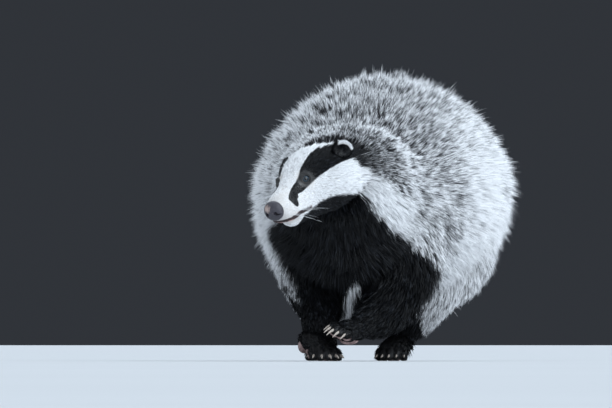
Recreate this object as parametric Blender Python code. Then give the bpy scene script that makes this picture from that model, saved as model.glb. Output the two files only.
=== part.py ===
"""A European badger at life size, caught in mid stride, as a still model.

Metres, +Z up. The animal faces -Y and its left side is +X. The floor is z = 0, under its middle.
Each part of the animal is one closed solid, a loft through a few named sections. What grows from
another part is cut clear of it, so that the two meet face to face. The long coat is made of flat
locks of guard hair, joined to a core that stands for the dense underfur.
"""

import math
import random

import bmesh
import bpy
import numpy as np
from mathutils import Matrix, Vector
from mathutils.bvhtree import BVHTree

# Driving dimensions
GAP = 0.0004  # clearance between two parts that meet
CORE_SHARE = 0.4  # how much of the coat's depth the dense underfur fills

# Each furred part, as sections square to a path that runs the way its hair lies.
# A section: x, y, z of its centre, half width, rise above the centre, drop below it, depth of the coat.
FURRED = {
    "torso": (
        (0.003, -0.228, 0.165, 0.030, 0.028, 0.034, 0.020),
        (0.002, -0.206, 0.169, 0.054, 0.050, 0.058, 0.024),
        (0.001, -0.172, 0.176, 0.075, 0.071, 0.080, 0.028),
        (0.000, -0.120, 0.183, 0.096, 0.087, 0.094, 0.032),
        (0.000, -0.045, 0.190, 0.108, 0.109, 0.099, 0.040),
        (0.000, 0.040, 0.193, 0.115, 0.126, 0.099, 0.044),
        (0.000, 0.125, 0.193, 0.115, 0.124, 0.094, 0.045),
        (0.000, 0.195, 0.190, 0.098, 0.100, 0.084, 0.040),
        (0.000, 0.240, 0.186, 0.068, 0.070, 0.062, 0.032),
        (0.000, 0.262, 0.182, 0.036, 0.038, 0.034, 0.024),
    ),
    "neck": (
        (0.004, -0.262, 0.231, 0.045, 0.040, 0.044, 0.014),
        (0.002, -0.230, 0.223, 0.055, 0.049, 0.056, 0.024),
        (0.001, -0.190, 0.212, 0.065, 0.058, 0.066, 0.033),
        (0.002, -0.150, 0.200, 0.070, 0.062, 0.070, 0.034),
    ),
    "tail": (
        (0.000, 0.225, 0.205, 0.024, 0.024, 0.022, 0.020),
        (0.000, 0.268, 0.200, 0.020, 0.019, 0.018, 0.026),
        (0.003, 0.312, 0.178, 0.016, 0.015, 0.014, 0.030),
        (0.006, 0.346, 0.142, 0.012, 0.011, 0.011, 0.030),
        (0.008, 0.366, 0.104, 0.008, 0.007, 0.007, 0.024),
    ),
    "foreleg_right": (
        (-0.044, -0.130, 0.185, 0.044, 0.052, 0.052, 0.016),
        (-0.054, -0.124, 0.135, 0.039, 0.046, 0.046, 0.015),
        (-0.051, -0.130, 0.098, 0.031, 0.035, 0.035, 0.012),
        (-0.041, -0.152, 0.066, 0.022, 0.023, 0.023, 0.008),
        (-0.037, -0.168, 0.040, 0.020, 0.019, 0.019, 0.005),
    ),
    "foreleg_left": (
        (0.052, -0.135, 0.180, 0.044, 0.054, 0.054, 0.016),
        (0.064, -0.140, 0.132, 0.040, 0.048, 0.048, 0.016),
        (0.065, -0.160, 0.092, 0.032, 0.035, 0.035, 0.014),
        (0.047, -0.188, 0.061, 0.025, 0.025, 0.025, 0.011),
        (0.026, -0.206, 0.045, 0.019, 0.017, 0.017, 0.005),
    ),
    "hindleg_right": (
        (-0.062, 0.120, 0.180, 0.052, 0.072, 0.072, 0.018),
        (-0.082, 0.118, 0.132, 0.048, 0.064, 0.064, 0.019),
        (-0.094, 0.142, 0.096, 0.032, 0.039, 0.039, 0.015),
        (-0.098, 0.192, 0.066, 0.020, 0.021, 0.021, 0.008),
        (-0.099, 0.218, 0.046, 0.016, 0.016, 0.016, 0.005),
    ),
    "hindleg_left": (
        (0.062, 0.110, 0.180, 0.052, 0.072, 0.072, 0.018),
        (0.080, 0.080, 0.130, 0.048, 0.062, 0.062, 0.019),
        (0.072, 0.062, 0.092, 0.033, 0.039, 0.039, 0.015),
        (0.044, 0.078, 0.062, 0.021, 0.023, 0.023, 0.008),
        (0.026, 0.088, 0.040, 0.016, 0.016, 0.016, 0.005),
    ),
}
# Rings along, points round, and colour of each furred part.
FORM = {
    "torso": (12, 18, "grey"),
    "neck": (5, 16, "grey"),
    "tail": (8, 10, "grey"),
    "foreleg_right": (9, 12, "black"),
    "foreleg_left": (9, 12, "black"),
    "hindleg_right": (9, 12, "black"),
    "hindleg_left": (9, 12, "black"),
}
# Locks of guard hair: how far apart they grow along the part and round it, their length, their
# half width, and how much of their way is straight down.
LOCKS = {
    "neck": (0.030, 0.036, 0.052, 0.0100, 0.20),
    "torso": (0.038, 0.043, 0.080, 0.0130, 0.30),
    "tail": (0.034, 0.036, 0.056, 0.0095, 0.30),
    "foreleg_right": (0.030, 0.034, 0.042, 0.0090, 0.30),
    "foreleg_left": (0.030, 0.034, 0.042, 0.0090, 0.30),
    "hindleg_right": (0.032, 0.036, 0.046, 0.0105, 0.30),
    "hindleg_left": (0.032, 0.036, 0.046, 0.0105, 0.30),
}
# From a lock's root to its tip: share of its length, share of its rise out of the core, and
# share of its width.
LOCK_SHAPE = ((0.0, 0.0, 0.70), (0.26, 0.66, 1.0), (0.64, 0.93, 0.52), (1.0, 1.0, 0.0))
LOCK_ROOT = 0.006  # how deep a lock starts under the core's surface
LOCK_THICK = 0.0052
CHEST_HANG = 1.8  # how much more the hair hangs at the front of the torso
CHEST_SHARE = 0.35  # how far along the torso that fades out
LOCK_VARIES = 0.12
# Shares of a lock's length and rise that are tried until it is clear of the other parts.
LOCK_TRIES = ((1.0, 1.0), (0.85, 1.0), (0.7, 1.0), (0.7, 0.8), (0.5, 1.0), (0.42, 0.7))
SHORTEST_COAT = 0.012  # coat that is shorter than this has no locks
FLOOR_CLEAR = 0.004  # between a lock's tip and the floor
LOCK_SECTIONS = 41  # sections along a part between which its locks are placed
LOCK_STEP = 0.01  # a small step along or round a part, to read the way of its surface
COAT_SEED = 7

# The head, about an axis through the nose. Each section: distance behind the nose, half width, rise, drop.
HEAD = (
    (0.009, 0.0125, 0.0105, 0.0165),
    (0.020, 0.0174, 0.0164, 0.0262),
    (0.036, 0.0212, 0.0216, 0.0312),
    (0.055, 0.0260, 0.0298, 0.0325),
    (0.075, 0.0360, 0.0402, 0.0345),
    (0.096, 0.0480, 0.0475, 0.0380),
    (0.120, 0.0535, 0.0500, 0.0410),
    (0.143, 0.0505, 0.0460, 0.0400),
    (0.160, 0.0430, 0.0380, 0.0350),
)
HEAD_SIDES = 24
HEAD_RINGS = 15
HEAD_POWER = 2.25  # the sections are a little squarer than ellipses
NOSE_TIP = Vector((-0.0586, -0.4022, 0.1836))
NOSE_SIZE = (0.0137, 0.0085, 0.0126)  # half width, depth and height of the pad
# What shapes the pad: place (out, back, up) and half sizes of each cut.
NOSTRIL = ((0.0052, 0.0005, -0.0012), (0.0026, 0.0045, 0.0022))
NOSTRIL_SLOT = ((0.0090, 0.0030, -0.0040), (0.0032, 0.0040, 0.0012))
NOSE_GROOVE = ((0.0, 0.0002, -0.0078), (0.0006, 0.0016, 0.0055))
HEAD_TURN = math.radians(-25)  # towards its right
HEAD_DIP = math.radians(20)  # nose below the ears
HEAD_ROLL = math.radians(-6)  # its left side up
HEAD_TURNED = (
    Matrix.Rotation(HEAD_TURN, 3, "Z")
    @ Matrix.Rotation(HEAD_DIP, 3, "X")
    @ Matrix.Rotation(HEAD_ROLL, 3, "Y")
)

EYE_RADIUS = 0.0058
EYE_BACK = 0.0620  # behind the nose
EYE_OUT = 0.0192
EYE_UP = 0.0206
EYE_WAY = (0.80, -0.55, 0.25)  # it looks out, forward and a little up
EYE_OPENING = (0.0048, 0.0052, 0.0036)  # half sizes of the cut between the lids
LID_THICK = 0.0016

MOUTH_FRONT_DROP = 0.0190  # the mouth line below the head's axis, under the nose
MOUTH_CORNER_BACK = 0.046
MOUTH_CORNER_DROP = 0.0140
MOUTH_OPEN = 0.0038  # between the lips at the front
JAW_FRONT = 0.015
JAW_BACK = 0.056
LIP_FRONT = 0.011  # behind the nose
LIP_RADIUS = 0.0016

EAR_BACK = 0.114
EAR_OUT = 0.0435
EAR_UP = 0.0285
EAR_RISE = 0.0105  # the cup's middle above its root
EAR_HALF_WIDTH = 0.0142
EAR_HALF_DEPTH = 0.0085
EAR_HALF_HEIGHT = 0.0130
EAR_WALL = 0.0020
# Which way each ear rises and faces: out, back and up. The right one is laid back.
EAR_WAY = {
    1: ((0.42, 0.18, 0.88), (0.72, -0.68, 0.0)),
    -1: ((-0.15, 0.85, 0.45), (-0.95, -0.25, 0.15)),
}

# Each paw: its heel, its ball under the knuckles, which way the toes point, and its back.
PAWS = {
    "paw_fore_right": (
        (-0.048, -0.162, 0.021),
        (-0.027, -0.200, 0.0155),
        (0.47, -0.88, -0.10),
        (0.12, 0.10, 1),
    ),
    "paw_fore_left": (
        (0.030, -0.206, 0.043),
        (0.008, -0.224, 0.038),
        (-0.43, -0.90, 0.02),
        (0.37, -0.16, 0.92),
    ),
    "paw_hind_right": (
        (-0.099, 0.226, 0.040),
        (-0.095, 0.178, 0.0155),
        (0.10, -1, -0.06),
        (0, -0.1, 1),
    ),
    "paw_hind_left": (
        (0.022, 0.092, 0.024),
        (0.020, 0.040, 0.0155),
        (-0.06, -1, -0.06),
        (0, 0, 1),
    ),
}
LIFTED_PAW = "paw_fore_left"
PAW_HALF_WIDTH = {"fore": 0.0215, "hind": 0.0185}
PAW_HALF_THICK = 0.0115
TOES = 5
TOE_LENGTH = {"fore": 0.021, "hind": 0.019}
TOE_RADIUS = 0.0060
TOE_SPREAD = 0.28
TOE_ARCH = 0.0022
PAD_SWELL = 1.2  # a toe's pad is deeper than the toe's back
STANDING_TOE = 0.0042  # height of a standing toe's tip, so low that its pad is flattened
# Pads under the palm: share of the way from heel to ball, half width as a share of the paw's, half
# length, half depth, and how far they are below the palm's middle as a share of its half thickness.
PALM_PADS = ((0.75, 0.76, 0.0125, 0.0062, 0.96), (0.02, 0.50, 0.0110, 0.0062, 0.60))
# From heel to ball: share of the way, of the width and of the thickness.
PALM_FORM = ((0, 0.80, 1.0), (0.35, 0.86, 1.15), (0.7, 0.96, 1.08), (1.0, 1.0, 0.92))
# From a toe's root to its tip: share of the way and of the radius.
TOE_FORM = ((0, 0.95), (0.4, 0.9), (0.75, 1.0), (1.0, 0.8))
CLAW_LENGTH = {"fore": 0.024, "hind": 0.013}
CLAW_RADIUS = 0.0026
CLAW_BEND = 0.48  # drop of the point, as a share of the length
STANDING_CLAW_BEND = 0.30
STANDING_CLAW_RISE = 0.12
LEGS = ("foreleg_right", "foreleg_left", "hindleg_right", "hindleg_left")

COLOURS = {
    "grey": ((0.48, 0.50, 0.53), 0.85),
    "black": ((0.022, 0.022, 0.026), 0.8),
    "white": ((0.80, 0.80, 0.80), 0.85),
    "nose": ((0.06, 0.055, 0.06), 0.4),
    "eye": ((0.008, 0.007, 0.006), 0.05),
}


def clear_scene():
    for item in list(bpy.data.objects):
        bpy.data.objects.remove(item)


def finish_of(name):
    """The material of this name, made once."""
    if name in bpy.data.materials:
        return bpy.data.materials[name]
    made = bpy.data.materials.new(name)
    made.use_nodes = True
    shader = made.node_tree.nodes["Principled BSDF"]
    colour, rough = COLOURS[name]
    shader.inputs["Base Color"].default_value = (*colour, 1)
    shader.inputs["Roughness"].default_value = rough
    shader.inputs["Metallic"].default_value = 0
    return made


def object_of(name, bm, finish):
    bmesh.ops.recalc_face_normals(bm, faces=bm.faces)
    mesh = bpy.data.meshes.new(name)
    bm.to_mesh(mesh)
    bm.free()
    made = bpy.data.objects.new(name, mesh)
    bpy.context.scene.collection.objects.link(made)
    mesh.materials.append(finish_of(finish))
    return made


def read_between(table, count):
    """Rows at even steps along a smooth curve through the table's rows."""
    rows = np.array(table, float)
    rows = np.vstack([2 * rows[0] - rows[1], rows, 2 * rows[-1] - rows[-2]])
    last = len(table) - 1
    read = []
    for u in np.linspace(0, last, count):
        i = min(int(u), last - 1)
        f = u - i
        a, b, c, d = rows[i : i + 4]
        read.append(
            0.5 * (2 * b + (c - a) * f + (2 * a - 5 * b + 4 * c - d) * f**2 + (3 * b - a - 3 * c + d) * f**3)
        )
    return read


def ring(bm, centre, side, up, width, rise, drop, sides, power):
    """One closed loop of points round centre: an ellipse, or squarer than one for a power above 2."""
    points = []
    for k in range(sides):
        angle = 2 * math.pi * k / sides
        c, s = math.cos(angle), math.sin(angle)
        across = width * math.copysign(abs(c) ** (2 / power), c)
        over = (rise if s > 0 else drop) * math.copysign(abs(s) ** (2 / power), s)
        points.append(bm.verts.new(centre + side * across + up * over))
    return points


def loft(name, sections, sides, finish, power=2.0, dome=0.7, dome_rings=(35, 65)):
    """A closed tube through sections of (centre, side, up, half width, rise, drop), with domed ends."""
    bm = bmesh.new()
    ends = []
    for end, inner in ((sections[0], sections[1]), (sections[-1], sections[-2])):
        out = (end[0] - inner[0]).normalized()
        reach = dome * min(end[3], end[4], end[5])
        steps = [
            (end[0] + out * reach * math.sin(a), end[1], end[2], *(size * math.cos(a) for size in end[3:]))
            for a in map(math.radians, dome_rings)
        ]
        ends.append((steps, end[0] + out * reach))
    whole = [*reversed(ends[0][0]), *sections, *ends[1][0]]
    rings = [ring(bm, *section, sides, power) for section in whole]
    for first, second in zip(rings, rings[1:]):
        for k in range(sides):
            bm.faces.new((first[k], first[(k + 1) % sides], second[(k + 1) % sides], second[k]))
    for loop, pole in ((rings[0], ends[0][1]), (rings[-1], ends[1][1])):
        tip = bm.verts.new(pole)
        for k in range(sides):
            bm.faces.new((loop[k], loop[(k + 1) % sides], tip))
    bmesh.ops.triangulate(bm, faces=bm.faces)
    return object_of(name, bm, finish)


def path_sections(rows, hint):
    """Sections square to a path, from rows of x, y, z, half width, rise and drop.

    hint points to the ring's side.
    """
    centres = [Vector(row[:3]) for row in rows]
    sections = []
    for k, row in enumerate(rows):
        ahead = (centres[min(k + 1, len(rows) - 1)] - centres[max(k - 1, 0)]).normalized()
        up = hint.cross(ahead).normalized()
        side = ahead.cross(up)
        sections.append((centres[k], side, up, *row[3:6]))
    return sections


def settle(target):
    """Applies the target's modifiers."""
    graph = bpy.context.evaluated_depsgraph_get()
    mesh = bpy.data.meshes.new_from_object(target.evaluated_get(graph))
    target.modifiers.clear()
    target.data = mesh


def combine(target, cutter, operation):
    """A Boolean between two closed solids, of which the second is then removed."""
    modifier = target.modifiers.new("shape", "BOOLEAN")
    modifier.operation = operation
    modifier.solver = "MANIFOLD"
    modifier.object = cutter
    settle(target)
    bpy.data.objects.remove(cutter)


def join_all(target, pieces):
    """One Boolean union of the target with closed pieces, which are then removed."""
    group = bpy.data.collections.new("pieces")
    bpy.context.scene.collection.children.link(group)
    for piece in pieces:
        bpy.context.scene.collection.objects.unlink(piece)
        group.objects.link(piece)
    modifier = target.modifiers.new("union", "BOOLEAN")
    modifier.operation = "UNION"
    modifier.solver = "MANIFOLD"
    modifier.operand_type = "COLLECTION"
    modifier.collection = group
    settle(target)
    for piece in pieces:
        bpy.data.objects.remove(piece)
    bpy.data.collections.remove(group)


def keep_largest(target):
    """Leaves only the closed surface that holds the most."""
    bm = bmesh.new()
    bm.from_mesh(target.data)
    bmesh.ops.triangulate(bm, faces=bm.faces)
    left, bodies = set(bm.faces), []
    while left:
        stack, body = [left.pop()], []
        while stack:
            face = stack.pop()
            body.append(face)
            for edge in face.edges:
                for other in edge.link_faces:
                    if other in left:
                        left.remove(other)
                        stack.append(other)
        bodies.append(body)

    def volume(body):
        return abs(sum(f.verts[0].co.dot(f.verts[1].co.cross(f.verts[2].co)) for f in body))

    largest = max(bodies, key=volume)
    spare = [face for body in bodies if body is not largest for face in body]
    bmesh.ops.delete(bm, geom=spare, context="FACES")
    bm.to_mesh(target.data)
    bm.free()


def shade_round(target, degrees=40):
    target.data.shade_smooth()
    target.data.set_sharp_from_angle(angle=math.radians(degrees))


def ball(name, centre, axes, sizes, finish, segments, rings):
    """An ellipsoid with its half sizes along the three axes."""
    bm = bmesh.new()
    turned = Matrix((axes[0], axes[1], axes[2])).transposed()
    shape = Matrix.Translation(centre) @ turned.to_4x4() @ Matrix.Diagonal((*sizes, 1))
    bmesh.ops.create_uvsphere(bm, u_segments=segments, v_segments=rings, radius=1, matrix=shape)
    return object_of(name, bm, finish)


def box(name, corners, finish):
    """A closed block from its eight corners: the lower four in order, then the upper four."""
    bm = bmesh.new()
    points = [bm.verts.new(corner) for corner in corners]
    for face in ((0, 1, 2, 3), (7, 6, 5, 4), (0, 4, 5, 1), (1, 5, 6, 2), (2, 6, 7, 3), (3, 7, 4, 0)):
        bm.faces.new([points[k] for k in face])
    return object_of(name, bm, finish)


def furred_sections(name, share, grow=0.0, count=None):
    """A furred part's sections out to a share of its coat's depth, which each gives as its last value."""
    rows = read_between(FURRED[name], count or FORM[name][0])
    sized = [(*row[:3], *(size + share * row[6] + grow for size in row[3:6])) for row in rows]
    sections = path_sections(sized, Vector((1, 0, 0)))
    return [(*section, row[6]) for section, row in zip(sections, rows)]


def furred_solid(name, share, grow=0.0, label=None):
    _, sides, finish = FORM[name]
    sections = [section[:6] for section in furred_sections(name, share, grow)]
    return loft(label or name, sections, sides, finish, dome=0.5)


def room(name):
    """The space that a furred part's core needs in its neighbours."""
    return furred_solid(name, CORE_SHARE, GAP, "cut")


def surface_point(sections, u, angle):
    """A point on the form at u along it, from 0 to 1, and at an angle round it."""
    place = min(max(u, 0.0), 1.0) * (len(sections) - 1)
    i = min(int(place), len(sections) - 2)
    f = place - i
    between = [a * (1 - f) + b * f for a, b in zip(sections[i], sections[i + 1])]
    centre, side, up, width, rise, drop, _ = between
    s = math.sin(angle)
    return centre + side * width * math.cos(angle) + up * (rise if s > 0 else drop) * s


def lock_places(name, chance):
    """Roots of the locks over a furred part: point, normal, way of the hair, and the coat's depth."""
    along, around, _, _, hang = LOCKS[name]
    sections = furred_sections(name, CORE_SHARE, count=LOCK_SECTIONS)
    length = sum((b[0] - a[0]).length for a, b in zip(sections, sections[1:]))
    rows = round(length / along)
    for row in range(rows):
        u = (row + 0.5) / rows
        here = sections[round(u * (len(sections) - 1))]
        round_it = math.pi * (here[3] + (here[4] + here[5]) / 2)
        count = max(3, round(round_it / around))
        for k in range(count):
            spot = u + chance.uniform(-0.2, 0.2) / rows
            angle = 2 * math.pi * (k + 0.5 * (row % 2) + chance.uniform(-0.15, 0.15)) / count
            point = surface_point(sections, spot, angle)
            behind = surface_point(sections, spot + LOCK_STEP, angle)
            back = (behind - surface_point(sections, spot - LOCK_STEP, angle)).normalized()
            beside = surface_point(sections, spot, angle + LOCK_STEP)
            normal = (beside - surface_point(sections, spot, angle - LOCK_STEP)).cross(back).normalized()
            if normal.dot(point - here[0]) < 0:
                normal.negate()
            chest = CHEST_HANG * max(0.0, 1 - spot / CHEST_SHARE) if name == "torso" else 0.0
            way = back + (hang + chest) * Vector((0, 0, -1))
            way = (way - normal * normal.dot(way)).normalized()
            yield point, normal, way, here[6] * (1 - CORE_SHARE)


def lock_mesh(place, length, rise, width):
    """Points and faces of one flat lock with a ridge, that rises out of the core and bends along the lie."""
    point, normal, way, _ = place
    side = normal.cross(way)
    points, faces = [], []
    for share, lift, wide in LOCK_SHAPE[:-1]:
        middle = point + way * length * share + normal * (lift * (rise + LOCK_ROOT) - LOCK_ROOT)
        thick = LOCK_THICK * wide
        points += [middle - side * width * wide, middle + side * width * wide, middle + normal * thick]
    points.append(point + way * length + normal * rise)
    for k in range(len(LOCK_SHAPE) - 2):
        for a in range(3):
            b = (a + 1) % 3
            faces.append((3 * k + a, 3 * k + b, 3 * k + 3 + b, 3 * k + 3 + a))
    last, tip = len(points) - 4, len(points) - 1
    faces += [(2, 1, 0), (last, last + 1, tip), (last + 1, last + 2, tip), (last + 2, last, tip)]
    return points, faces


def surface_tree(item):
    return BVHTree.FromPolygons([v.co for v in item.data.vertices], [p.vertices for p in item.data.polygons])


def lock_object(points, faces, finish):
    bm = bmesh.new()
    corners = [bm.verts.new(point) for point in points]
    for face in faces:
        bm.faces.new([corners[k] for k in face])
    bmesh.ops.triangulate(bm, faces=bm.faces)
    return object_of("lock", bm, finish)


def grow_locks(core, chance, others):
    """Joins the core with its locks. Each stays clear of the other parts, or is shortened until it does."""
    _, _, length, width, _ = LOCKS[core.name]
    pieces = []
    for place in lock_places(core.name, chance):
        if place[3] < SHORTEST_COAT * (1 - CORE_SHARE):
            continue
        whole = length * chance.uniform(1 - LOCK_VARIES, 1 + LOCK_VARIES)
        for shorter, lower in LOCK_TRIES:
            points, faces = lock_mesh(place, whole * shorter, place[3] * lower, width + GAP)
            tree = BVHTree.FromPolygons(points, faces)
            if points[-1].z > FLOOR_CLEAR and not any(tree.overlap(other) for other in others):
                points, faces = lock_mesh(place, whole * shorter, place[3] * lower, width)
                pieces.append(lock_object(points, faces, FORM[core.name][2]))
                break
    join_all(core, pieces)
    keep_largest(core)


def head_point(x, back, z):
    """A point given by how far it is out to the left, behind the nose and above the head's axis."""
    return NOSE_TIP + HEAD_TURNED @ Vector((x, back, z))


def head_axes():
    return [HEAD_TURNED @ Vector(axis) for axis in ((1, 0, 0), (0, 1, 0), (0, 0, 1))]


def head_solid(name, grow=0.0):
    side, _, up = head_axes()
    sections = [
        (head_point(0, back, 0), side, up, width + grow, rise + grow, drop + grow)
        for back, width, rise, drop in read_between(HEAD, HEAD_RINGS)
    ]
    return loft(name, sections, HEAD_SIDES, "white", power=HEAD_POWER, dome=0.5)


def head_half_width(back, z):
    """How far the head's surface is from its middle, at a place behind the nose and a height."""
    table = np.array(HEAD)
    width, rise, drop = (np.interp(back, table[:, 0], table[:, k]) for k in (1, 2, 3))
    share = min(abs(z) / (rise if z > 0 else drop), 0.999)
    return width * (1 - share**HEAD_POWER) ** (1 / HEAD_POWER)


def mouth_drop(back):
    """How far the mouth line is below the head's axis."""
    share = min(max(back / MOUTH_CORNER_BACK, 0), 1)
    return MOUTH_FRONT_DROP + (MOUTH_CORNER_DROP - MOUTH_FRONT_DROP) * share


def jaw_block(name, grow, opening):
    """The space of the lower jaw: below the mouth line and ahead of the jaw's back."""
    half, front, bottom = 0.045, JAW_FRONT - grow, -0.09
    back = JAW_BACK + grow
    top_front = -mouth_drop(front) + grow + opening
    top_back = -mouth_drop(back) + grow
    low = [head_point(x, t, bottom) for x, t in ((-half, front), (half, front), (half, back), (-half, back))]
    high = [
        head_point(x, t, z)
        for x, t, z in (
            (-half, front, top_front),
            (half, front, top_front),
            (half, back, top_back),
            (-half, back, top_back),
        )
    ]
    return box(name, low + high, "white")


def lip(front, side_of_line):
    """A rounded rim along the mouth line, from corner to corner round the front of a jaw."""
    rows = []
    steps = 5
    for k in range(-steps, steps + 1):
        share = abs(k) / steps
        back = front + (MOUTH_CORNER_BACK - front) * share**1.4
        opening = MOUTH_OPEN * (1 - share) / 2 if side_of_line > 0 else 0.0
        z = -mouth_drop(back) + side_of_line * LIP_RADIUS + opening
        x = math.copysign(head_half_width(back, z), k) * min(1.0, (abs(k) / 3) ** 0.5) if k else 0.0
        radius = LIP_RADIUS * (1 - 0.5 * share)
        rows.append((*head_point(x, back - 0.001 * (1 - share), z), radius, radius, radius))
    return loft("lip", path_sections(rows, head_axes()[2]), 5, "white", dome_rings=())


def axes_along(way, up):
    """Side, way and up, square to each other."""
    way = way.normalized()
    side = way.cross(up).normalized()
    return side, way, side.cross(way)


def eye_centre(left):
    return head_point(left * EYE_OUT, EYE_BACK, EYE_UP)


def eye_axes(left):
    outward = HEAD_TURNED @ Vector((left * EYE_WAY[0], *EYE_WAY[1:]))
    return axes_along(outward, head_axes()[2])


def make_eye(name, left):
    return ball(name, eye_centre(left), eye_axes(left), [EYE_RADIUS] * 3, "eye", 10, 7)


def shape_eye_socket(head, left):
    """A lidded rim over the eyeball, with an almond opening in it."""
    axes = eye_axes(left)
    centre = eye_centre(left)
    combine(head, ball("lids", centre, axes, [EYE_RADIUS + LID_THICK] * 3, "white", 10, 7), "UNION")
    combine(head, ball("socket", centre, axes, [EYE_RADIUS + GAP] * 3, "white", 10, 7), "DIFFERENCE")
    front = centre + axes[1] * (EYE_RADIUS + 0.001)
    combine(head, ball("opening", front, axes, EYE_OPENING, "white", 10, 5), "DIFFERENCE")


def ear_frame(left):
    """The middle of an ear and its axes: across, the way that the cup faces, and along the ear."""
    along, facing = (HEAD_TURNED @ Vector(way) for way in EAR_WAY[left])
    along.normalize()
    side = along.cross(facing).normalized()
    middle = head_point(left * EAR_OUT, EAR_BACK, EAR_UP) + along * EAR_RISE
    return middle, (side, side.cross(along), along)


def make_ear(name, left):
    """A cupped shell with a rounded tip."""
    middle, axes = ear_frame(left)
    shell = ball(name, middle, axes, (EAR_HALF_WIDTH, EAR_HALF_DEPTH, EAR_HALF_HEIGHT), "black", 14, 8)
    inner = middle + axes[1] * EAR_HALF_DEPTH * 0.62 + axes[2] * 0.003
    sizes = (EAR_HALF_WIDTH - EAR_WALL, EAR_HALF_DEPTH * 1.1, EAR_HALF_HEIGHT - EAR_WALL)
    combine(shell, ball("hollow", inner, axes, sizes, "black", 12, 8), "DIFFERENCE")
    return shell


def ear_room(left):
    """The space that an ear needs in the coat beside it."""
    middle, axes = ear_frame(left)
    sizes = (EAR_HALF_WIDTH + GAP, EAR_HALF_DEPTH + GAP, EAR_HALF_HEIGHT + GAP)
    return ball("cut", middle, axes, sizes, "black", 16, 10)


def make_nose(name):
    """The bare nose pad, with two comma-shaped nostrils and the groove between them."""
    pad = ball(name, head_point(0, NOSE_SIZE[1], 0), head_axes(), NOSE_SIZE, "nose", 14, 9)
    for left in (-1, 1):
        for (out, back, up), sizes in (NOSTRIL, NOSTRIL_SLOT):
            cut = ball("cut", head_point(left * out, back, up), head_axes(), sizes, "nose", 6, 5)
            combine(pad, cut, "DIFFERENCE")
    place, sizes = NOSE_GROOVE
    combine(pad, ball("cut", head_point(*place), head_axes(), sizes, "nose", 5, 5), "DIFFERENCE")
    return pad


def nose_room():
    """The space that the nose pad needs in the head."""
    sizes = [size + GAP for size in NOSE_SIZE]
    return ball("cut", head_point(0, NOSE_SIZE[1], 0), head_axes(), sizes, "nose", 14, 9)


def claw_solid(name, root, toe, dorsal, length, bend):
    """A curved horn cone that bends down towards its point."""
    rows = []
    for k in range(4):
        share = k / 3
        centre = root + toe * length * share * (1 - 0.10 * share) - dorsal * length * bend * share**2
        size = CLAW_RADIUS * (1 - 0.86 * share**1.3)
        rows.append((*centre, size * 0.75, size, size))
    return loft(name, path_sections(rows, toe.cross(dorsal)), 4, "nose", dome=0.4, dome_rings=())


def make_toe(name, place, root, axes, kind):
    """A toe with its pad and its claw. place runs from -1 at one side of the paw to 1 at the other."""
    across, toe, dorsal = axes
    stands = name != LIFTED_PAW
    spread = (toe + across * TOE_SPREAD * place).normalized()
    tip = root + spread * TOE_LENGTH[kind] * (1 - 0.16 * place**2)
    if stands:
        tip.z = STANDING_TOE
    rows = []
    for share, swell in TOE_FORM:
        centre = root.lerp(tip, share) + dorsal * TOE_ARCH * math.sin(math.pi * share)
        rows.append((*centre, TOE_RADIUS * swell, TOE_RADIUS * swell, TOE_RADIUS * swell * PAD_SWELL))
    solid = loft("toe", path_sections(rows, -across), 6, "black", dome=0.9, dome_rings=(50,))
    way = (tip - root).normalized()
    if stands:
        way = Vector((way.x, way.y, STANDING_CLAW_RISE)).normalized()
    claw_root = tip - way * 0.001 + dorsal * 0.0018
    length = CLAW_LENGTH[kind] * (1 - 0.12 * place**2)
    bend = STANDING_CLAW_BEND if stands else CLAW_BEND
    return solid, claw_solid("claw", claw_root, way, dorsal, length, bend)


def paw_pieces(name):
    """Palm, pads, toes and claws, which overlap and are joined into one."""
    heel, knuckles, toe, dorsal = (Vector(values) for values in PAWS[name])
    kind = "fore" if "fore" in name else "hind"
    width = PAW_HALF_WIDTH[kind]
    axes = axes_along(toe, dorsal)
    across, toe, dorsal = axes
    rows = []
    for share, wide, thick in PALM_FORM:
        half = PAW_HALF_THICK * thick
        rows.append((*heel.lerp(knuckles, share), width * wide, half, half))
    palm = loft(name, path_sections(rows, -across), 10, "black", dome=1.0, dome_rings=(50,))
    way = (knuckles - heel).normalized()
    sole = (-dorsal - way * way.dot(-dorsal)).normalized()
    pieces = []
    pad_axes = (way.cross(sole), way, sole)
    for share, wide, long, deep, below in PALM_PADS:
        middle = heel.lerp(knuckles, share) + sole * PAW_HALF_THICK * below
        pieces.append(ball("pad", middle, pad_axes, (width * wide, long, deep), "nose", 7, 4))
    for k in range(TOES):
        place = 2 * k / (TOES - 1) - 1
        root = knuckles + across * (width - TOE_RADIUS) * place - toe * TOE_RADIUS * abs(place) ** 1.5
        pieces.extend(make_toe(name, place, root, axes, kind))
    return palm, pieces


def floor_block():
    """All below the floor."""
    half, depth = 0.6, 0.05
    corners = [(-half, -half), (half, -half), (half, half), (-half, half)]
    return box("floor", [(x, y, -depth) for x, y in corners] + [(x, y, 0) for x, y in corners], "grey")


def make_paw(name):
    palm, pieces = paw_pieces(name)
    join_all(palm, pieces)
    combine(palm, floor_block(), "DIFFERENCE")
    keep_largest(palm)
    return palm


def trim(target, cutters):
    """Cuts the target clear of its neighbours' grown copies, and keeps its main body."""
    for cutter in cutters:
        combine(target, cutter, "DIFFERENCE")
    keep_largest(target)


def make_head():
    """The head with its lips, lids and sockets, and the lower jaw below its mouth line."""
    jaw = head_solid("lower_jaw")
    combine(jaw, lip(JAW_FRONT + LIP_RADIUS, -1), "UNION")
    combine(jaw, jaw_block("block", 0.0, 0.0), "INTERSECT")
    trim(jaw, [nose_room()])
    head = head_solid("head")
    combine(head, jaw_block("block", GAP, MOUTH_OPEN), "DIFFERENCE")
    combine(head, lip(LIP_FRONT, 1), "UNION")
    for left in (-1, 1):
        shape_eye_socket(head, left)
    trim(head, [nose_room()])


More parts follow.
